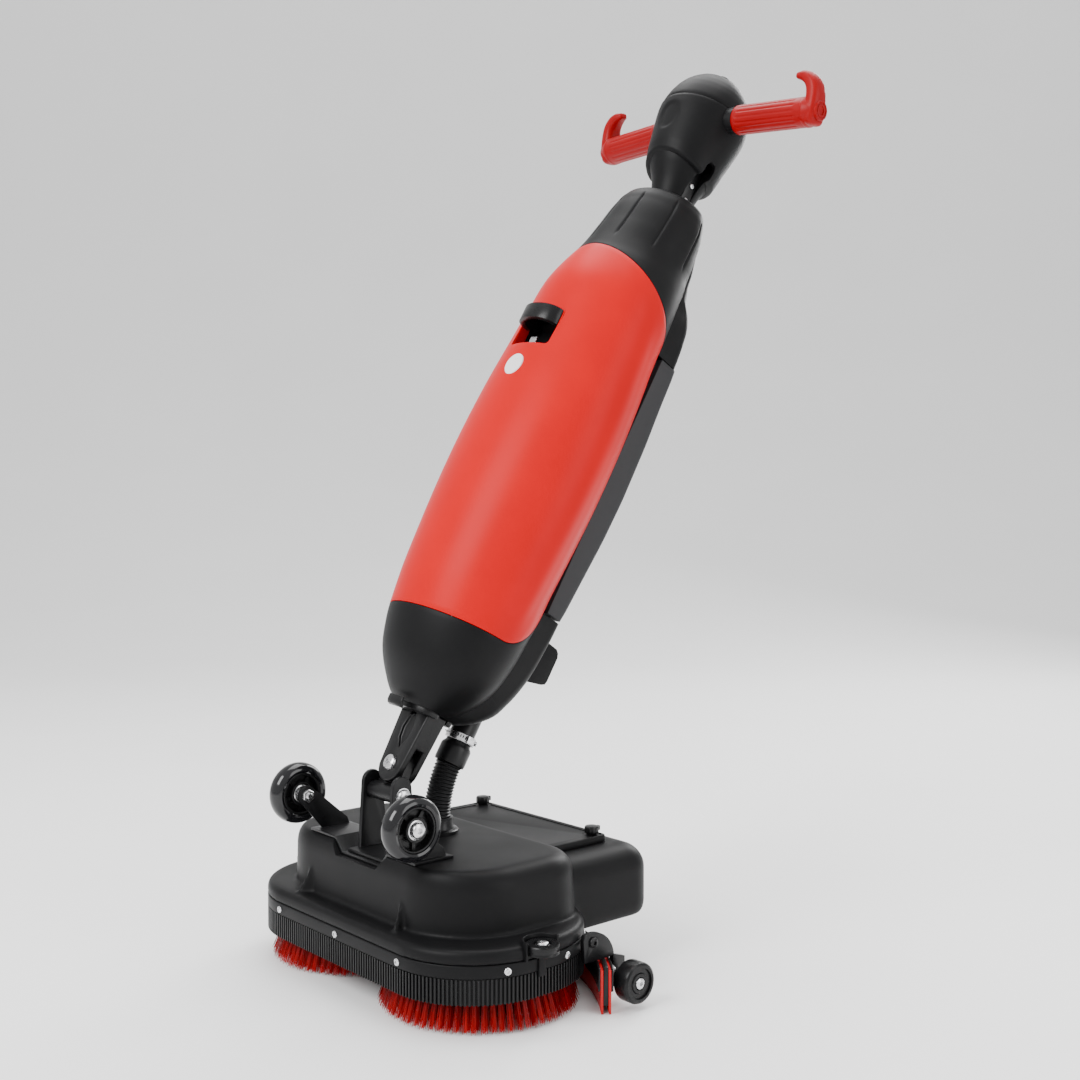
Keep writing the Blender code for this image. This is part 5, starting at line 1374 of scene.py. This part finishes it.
def build_brushes():
    """Two disc brushes: the turned block and rings of bristle tufts that flare to the floor."""
    top = 0.042
    rng = random.Random(7)
    blades = []
    for k in range(TUFT_FILAMENTS):
        spread = 0.0021 * math.sqrt(k / TUFT_FILAMENTS)
        a = GOLDEN_TURN * k
        x, y = spread * math.cos(a), spread * math.sin(a)
        lean = 0.5 + 0.9 * rng.random()
        length = 0.93 + 0.07 * rng.random()
        rings = []
        for share in (0.0, 0.5, 1.0):
            out, wide = 1 + lean * share, FILAMENT_R * (1 - 0.3 * share)
            rings.append([(x * out + wide * math.cos(b), y * out + wide * math.sin(b), -share * length)
                          for b in (0.0, -2.094, -4.189)])
        blades.append(loft(rings))
    tuft = together(*blades)
    rows = [(0.0640, 0.056), (0.0705, 0.066), (0.0770, 0.078), (0.0835, 0.089), (0.0890, 0.099),
            (0.0940, 0.107),
            (0.0985, 0.1130)]
    for side, name in SIDES:
        centre = Vector((side * BRUSH_X, DECK_Y, 0))
        places = []
        for index, (root, tip) in enumerate(rows):
            count = int(2 * math.pi * root / TUFT_PITCH)
            for k in range(count):
                a = 2 * math.pi * (k + 0.5 * (index % 2)) / count + rng.uniform(-0.012, 0.012)
                out = Vector((math.cos(a), math.sin(a), 0))
                start = centre + out * root + Vector((0, 0, TUFT_TOP_Z))
                end = centre + out * (tip + rng.uniform(-0.0012, 0.0006)) + Vector((0, 0, 0.0008))
                run = start - end
                turn = run.to_track_quat("Z", "Y").to_euler()
                places.append((tuple(start), tuple(turn), (1.0, 1.0, run.length * rng.uniform(0.97, 1.0))))
        tufts = copies(f"bristles_{name}", tuft, places, "bristle", spin=math.radians(60), seed=3)
        finish(tufts, f"brush_{name}", "bristle", [f"brush_bristles_{name}"], angle=60)
        block = turned([(0.060, top), (0.1020, top), (0.1045, top + 0.003), (0.1050, top + 0.006),
                        (0.1050, 0.054),
                        (0.1030, 0.0570), (0.100, 0.058), (0.040, 0.0583), (0.026, 0.0590), (0.022, 0.068),
                        (0.0078, 0.0683), (0.0078, 0.0755)], 96)
        finish(piece(f"brush_disc_{name}", shifted(block, *centre)), f"brush_{name}", "moulded black",
               [f"brush_block_{name}"])


def squeegee_bar(low_r, high_r, z0, z1, steps=72, taper=0.0):
    """A strip bent along the squeegee's curve. A taper brings its lower edge to a point."""
    centre_y = SQUEEGEE_REAR_Y - SQUEEGEE_R
    rings = []
    for k in range(steps + 1):
        a = math.pi / 2 - SQUEEGEE_REACH + 2 * SQUEEGEE_REACH * k / steps
        ring = []
        for r, z in ((low_r + taper, z0), (low_r, z0 + 4 * taper), (low_r, z1), (high_r, z1), (high_r, z0)):
            radius = SQUEEGEE_R + r
            ring.append((radius * math.cos(a), centre_y + radius * math.sin(a), z))
        rings.append(ring)
    return loft(rings)


def build_squeegee():
    """The curved squeegee: holder, clamp strips, two blades, arms and end rollers."""
    bar = together(squeegee_bar(-0.0026, 0.0026, 0.010, 0.0536))
    finish(soften(piece("squeegee_holder", bar, DECK), 0.0007), "squeegee", "coated metal",
           ["squeegee_carrier"])
    for name, low, high in (("front", -0.0060, -0.0029), ("rear", 0.0029, 0.0060)):
        blade = piece(f"blade_{name}", squeegee_bar(low, high, 0.0005, 0.0500, taper=0.0008), DECK)
        finish(soften(blade, 0.0003), "squeegee", "blade", [f"squeegee_blade_{name}"])
    for name, low, high in (("front", -0.0085, -0.0061), ("rear", 0.0061, 0.0085)):
        strip = piece(f"blade_clamp_{name}", squeegee_bar(low, high, 0.0260, 0.0520), DECK)
        finish(soften(strip, 0.0007), "squeegee", "smooth black")
    studs = []
    for k in range(-3, 4):
        a = math.pi / 2 - SQUEEGEE_REACH * k / 3.4
        out = Vector((math.cos(a), math.sin(a), 0))
        at = Vector((0, SQUEEGEE_REAR_Y - SQUEEGEE_R + DECK_Y, 0.040)) + out * (SQUEEGEE_R + 0.0085)
        studs.append((tuple(at), facing(out), 1.0))
    finish(copies("blade_clamp_nuts", hex_nut(0.0062, 0.0040), studs, "zinc"), "squeegee", "zinc")
    y, z = LIFT_AT.y, LIFT_AT.z
    for side, name in SIDES:
        quarter = arc((0.074, 0.052), 0.035, -6, 106, 28) + [(0.0615, 0.080), (0.0635, 0.0545)]
        lug = [(0.108, 0.056), (0.126, 0.050), (0.1262, 0.022), (0.109, 0.018)]
        arm = piece(f"lift_arm_{name}", sided(extruded(quarter, 0.2222, 0.2278), side), DECK)
        join(arm, sided(extruded(lug, 0.2222, 0.2278), side), DECK)
        cut(arm, sided(box((0.20, 0.04, 0.0), (0.25, 0.1072, 0.0543)), side), DECK)
        cut(arm, shifted(along_x(turned([(0.0043, 0.20), (0.0043, 0.25)])), 0, y, z) if side > 0 else
            shifted(along_x(turned([(0.0043, -0.25), (0.0043, -0.20)])), 0, y, z))
        rx, ry, rz = ROLLER_AT
        stem = shifted(along_x(turned([(0.0078, 0.2275), (0.0078, rx - 0.0117), (0.0040, rx - 0.0115),
                                       (0.0040, rx + 0.0078)], 40)), 0, ry, rz)
        join(arm, sided(stem, side))
        soften(arm, 0.0007, 2, 35)
        finish(arm, "squeegee", "coated metal", [f"squeegee_arm_{name}"])
        pin = together(
            along_x(turned([(0.0065, -0.0085), (0.0065, -0.0033), (0.0040, -0.0031), (0.0040, 0.0033)], 32)),
            placed(socket_head(0.0060, 0.0030), Matrix.Translation((0.0033, 0, 0)) @ Matrix.Rotation(
                math.radians(90), 4, "Y")))
        finish(piece(f"lift_pin_bolt_{name}", sided(pin, side), Matrix.Translation((side * 0.225, y, z))),
               "deck",
               "coated metal", [f"lift_pin_{name}"])
        roller = turned_ring([
            (0.0205, -0.0108), (0.0228, -0.0092), (0.0235, -0.0070), (0.0235, 0.0070), (0.0228, 0.0092),
            (0.0205, 0.0108),
            (0.0175, 0.0108), (0.0170, 0.0085), (0.0120, 0.0085), (0.0110, 0.0100), (0.0075, 0.0100),
            (0.0075, 0.0074),
            (0.0043, 0.0074), (0.0043, -0.0108)], 80)
        at = Matrix.Translation((side * rx, ry, rz))
        finish(piece(f"end_roller_{name}", sided(along_x(roller), side), at), f"squeegee_roller_{name}",
               "smooth black",
               [f"squeegee_roller_{name}"])
        bolt = placed(socket_head(0.0068, 0.0040), Matrix.Translation((0.0076, 0, 0)) @ Matrix.Rotation(
            math.radians(90), 4, "Y"))
        finish(piece(f"end_roller_bolt_{name}", sided(bolt, side), at), "squeegee", "zinc")


KEPT_NODES = {
    "chassis_plate": "coated metal", "spine_tube": "zinc", "solution_tank": "natural",
    "vacuum_motor": "motor metal",
}


def dress_kept_nodes():
    """Gives each CAD node that still shows its finish."""
    for name, finish_name in KEPT_NODES.items():
        node = frame["nodes"][name]
        node.data.materials.clear()
        node.data.materials.append(FINISHES[finish_name])


# ---------- stage ----------

def area_light(name, location, target, size, power, colour=(1, 1, 1)):
    light = bpy.data.lights.new(name, "AREA")
    light.shape = "RECTANGLE"
    light.size, light.size_y = size
    light.energy = power
    light.color = colour
    made = bpy.data.objects.new(name, light)
    made.location = location
    made.rotation_euler = (Vector(target) - Vector(location)).to_track_quat("-Z", "Y").to_euler()
    bpy.context.scene.collection.objects.link(made)


def build_stage(settings):
    """Pale sweep, soft lights and the camera."""
    scene = bpy.context.scene
    camera = bpy.data.objects.new("camera", bpy.data.cameras.new("camera"))
    camera.data.sensor_width = 36.0
    camera.data.lens = settings.lens
    camera.location = Vector(settings.camera_from) + Vector((0, DECK_Y, 0))
    camera.rotation_euler = (math.radians(90) - settings.camera_pitch, 0, settings.camera_turn)
    scene.collection.objects.link(camera)
    scene.camera = camera

    world = bpy.data.worlds.new("studio")
    world.use_nodes = True
    world.node_tree.nodes["Background"].inputs[0].default_value = (1, 1, 1, 1)
    world.node_tree.nodes["Background"].inputs[1].default_value = settings.ambient
    scene.world = world

    rise, run, wall = 3.2, 2.6, 9.0
    profile = [(-12.0, 0.0), (run, 0.0)]
    profile += [(run + rise * math.sin(a), rise - rise * math.cos(a))
                for a in (math.radians(90 * k / 24) for k in range(1, 25))]
    profile += [(run + rise, wall)]
    away = Matrix.Rotation(settings.camera_turn, 4, "Z")
    points = [tuple(away @ Vector((x, y, z))) for y, z in profile for x in (-14.0, 14.0)]
    faces = [(2 * k, 2 * k + 1, 2 * k + 3, 2 * k + 2) for k in range(len(profile) - 1)]
    floor = piece("floor", (points, faces))
    floor.data.shade_smooth()
    shader, nodes = new_finish("floor pale", (0.90, 0.90, 0.90), 0.6)
    tinted(nodes, shader, noise(nodes, 2.0), (0.89, 0.89, 0.89), (0.91, 0.91, 0.91))
    floor.data.materials.append(FINISHES["floor pale"])

    middle = (0, 0.0, 0.55)
    aim = away.to_3x3()
    area_light("key", aim @ Vector((-1.9, -1.7, 2.3)), middle, (1.6, 1.6), settings.key)
    area_light("fill", aim @ Vector((2.6, -1.6, 1.2)), middle, (1.4, 2.0), settings.fill)
    area_light("top", aim @ Vector((0.2, 0.6, 3.0)), middle, (2.2, 2.2), settings.top)
    area_light("rim", aim @ Vector((1.6, 2.4, 1.9)), middle, (1.0, 1.8), settings.rim)


# ---------- add-on ----------

class ScrubberColours(bpy.types.PropertyGroup):
    """Colours of the main finishes."""

    black: bpy.props.FloatVectorProperty(name="Black", description="Moulded black plastic", subtype="COLOR",
                                         default=(0.0050, 0.0050, 0.0054), min=0, max=1)
    red: bpy.props.FloatVectorProperty(name="Red", description="Front cover", subtype="COLOR",
                                       default=(0.50, 0.0006, 0.0030), min=0, max=1)
    grip: bpy.props.FloatVectorProperty(name="Grip red", description="Handle grips", subtype="COLOR",
                                        default=(0.26, 0.0004, 0.0022), min=0, max=1)
    bristle: bpy.props.FloatVectorProperty(name="Bristles", description="Brush bristles", subtype="COLOR",
                                           default=(0.42, 0.0003, 0.0024), min=0, max=1)


class ScrubberStage(bpy.types.PropertyGroup):
    """Camera and lights."""

    lens: bpy.props.FloatProperty(name="Lens", description="Camera lens in millimetres", default=46.0, min=1)
    camera_from: bpy.props.FloatVectorProperty(name="Camera place", description="From the deck's middle",
                                               unit="LENGTH",
                                               default=(1.34576, -0.97677, 0.59002))
    camera_turn: bpy.props.FloatProperty(name="Turn", description="Camera's turn about the upright",
                                         unit="ROTATION",
                                         default=math.radians(48.95))
    camera_pitch: bpy.props.FloatProperty(name="Pitch", description="Camera's tilt below level",
                                          unit="ROTATION",
                                          default=math.radians(2.26))
    ambient: bpy.props.FloatProperty(name="Ambient", description="Strength of the light all round",
                                     default=1.0, min=0)
    key: bpy.props.FloatProperty(name="Key", description="Key light", default=110.0, min=0, unit="POWER")
    fill: bpy.props.FloatProperty(name="Fill", description="Fill light", default=35.0, min=0, unit="POWER")
    top: bpy.props.FloatProperty(name="Top", description="Top light", default=90.0, min=0, unit="POWER")
    rim: bpy.props.FloatProperty(name="Rim", description="Rim light", default=60.0, min=0, unit="POWER")


def operator(name, label, doc, *builders):
    """An operator class that runs some builders in order."""
    def execute(self, context):
        for build in builders:
            build()
        return {"FINISHED"}
    return type(f"SCRUBBER_OT_{name}", (bpy.types.Operator,), {
        "bl_idname": f"scrubber.{name}", "bl_label": label, "__doc__": doc, "execute": execute})


class SCRUBBER_OT_finishes(bpy.types.Operator):
    """Make the finishes and the node trees that the pieces share"""

    bl_idname = "scrubber.finishes"
    bl_label = "Finishes"

    def execute(self, context):
        make_finishes(context.scene.scrubber_colours)
        TREES["copies"] = copies_tree()
        TREES["hose"] = hose_tree()
        return {"FINISHED"}


class SCRUBBER_OT_stage(bpy.types.Operator):
    """Make the floor, the lights and the camera"""

    bl_idname = "scrubber.stage"
    bl_label = "Stage"

    def execute(self, context):
        build_stage(context.scene.scrubber_stage)
        return {"FINISHED"}


PIECES = (
    operator("deck_cover", "Deck cover", "Make the moulded cover, its lid and knobs", build_deck_cover,
             build_battery_cover),
    operator("skirt", "Skirt", "Make the ribbed band and the side bumpers", build_skirt, build_bumpers),
    operator("brushes", "Brushes", "Make the two disc brushes", build_brushes),
    operator("wheels", "Wheels", "Make the transport wheels and their bracket", build_wheels),
    operator("squeegee", "Squeegee", "Make the curved squeegee and its rollers", build_squeegee),
    operator("pivot", "Pivot", "Make the tilt and swing joint", build_pivot),
    operator("hose", "Hose", "Make the corrugated suction hose", build_hose),
    operator("boot", "Boot", "Make the lower shell, rear block and tank", build_boot, build_rear_block,
             build_tank),
    operator("cover", "Front cover", "Make the red cover with its latch and badge", build_front_cover,
             build_pocket,
             build_latch, build_badge),
    operator("collar", "Collar", "Make the upper shell", build_collar),
    operator("head", "Head", "Make the neck, housing, cap and keys", build_neck, build_head),
    operator("handle", "Handle", "Make the bar and the grips", build_handlebar),
    operator("inside", "Inside", "Give the inner pieces their finishes", dress_kept_nodes),
)


class SCRUBBER_PT_panel(bpy.types.Panel):
    """Lists the scrubber's steps in the sidebar"""

    bl_label = "Floor Scrubber"
    bl_idname = "SCRUBBER_PT_panel"
    bl_space_type = "VIEW_3D"
    bl_region_type = "UI"
    bl_category = "Scrubber"

    def draw(self, context):
        for step in (SCRUBBER_OT_finishes, SCRUBBER_OT_stage, *PIECES):
            self.layout.operator(step.bl_idname)
        for name in ("black", "red", "grip", "bristle"):
            self.layout.prop(context.scene.scrubber_colours, name)


CLASSES = (ScrubberColours, ScrubberStage, SCRUBBER_OT_finishes, SCRUBBER_OT_stage, *PIECES,
           SCRUBBER_PT_panel)


def register():
    for cls in CLASSES:
        bpy.utils.register_class(cls)
    bpy.types.Scene.scrubber_colours = bpy.props.PointerProperty(type=ScrubberColours)
    bpy.types.Scene.scrubber_stage = bpy.props.PointerProperty(type=ScrubberStage)


def unregister():
    del bpy.types.Scene.scrubber_stage
    del bpy.types.Scene.scrubber_colours
    for cls in reversed(CLASSES):
        bpy.utils.unregister_class(cls)


def main():
    register()
    bpy.ops.scrubber.finishes()
    bpy.ops.scrubber.stage()
    for step in PIECES:
        getattr(bpy.ops.scrubber, step.bl_idname.split(".")[1])()


if __name__ == "__main__":
    main()
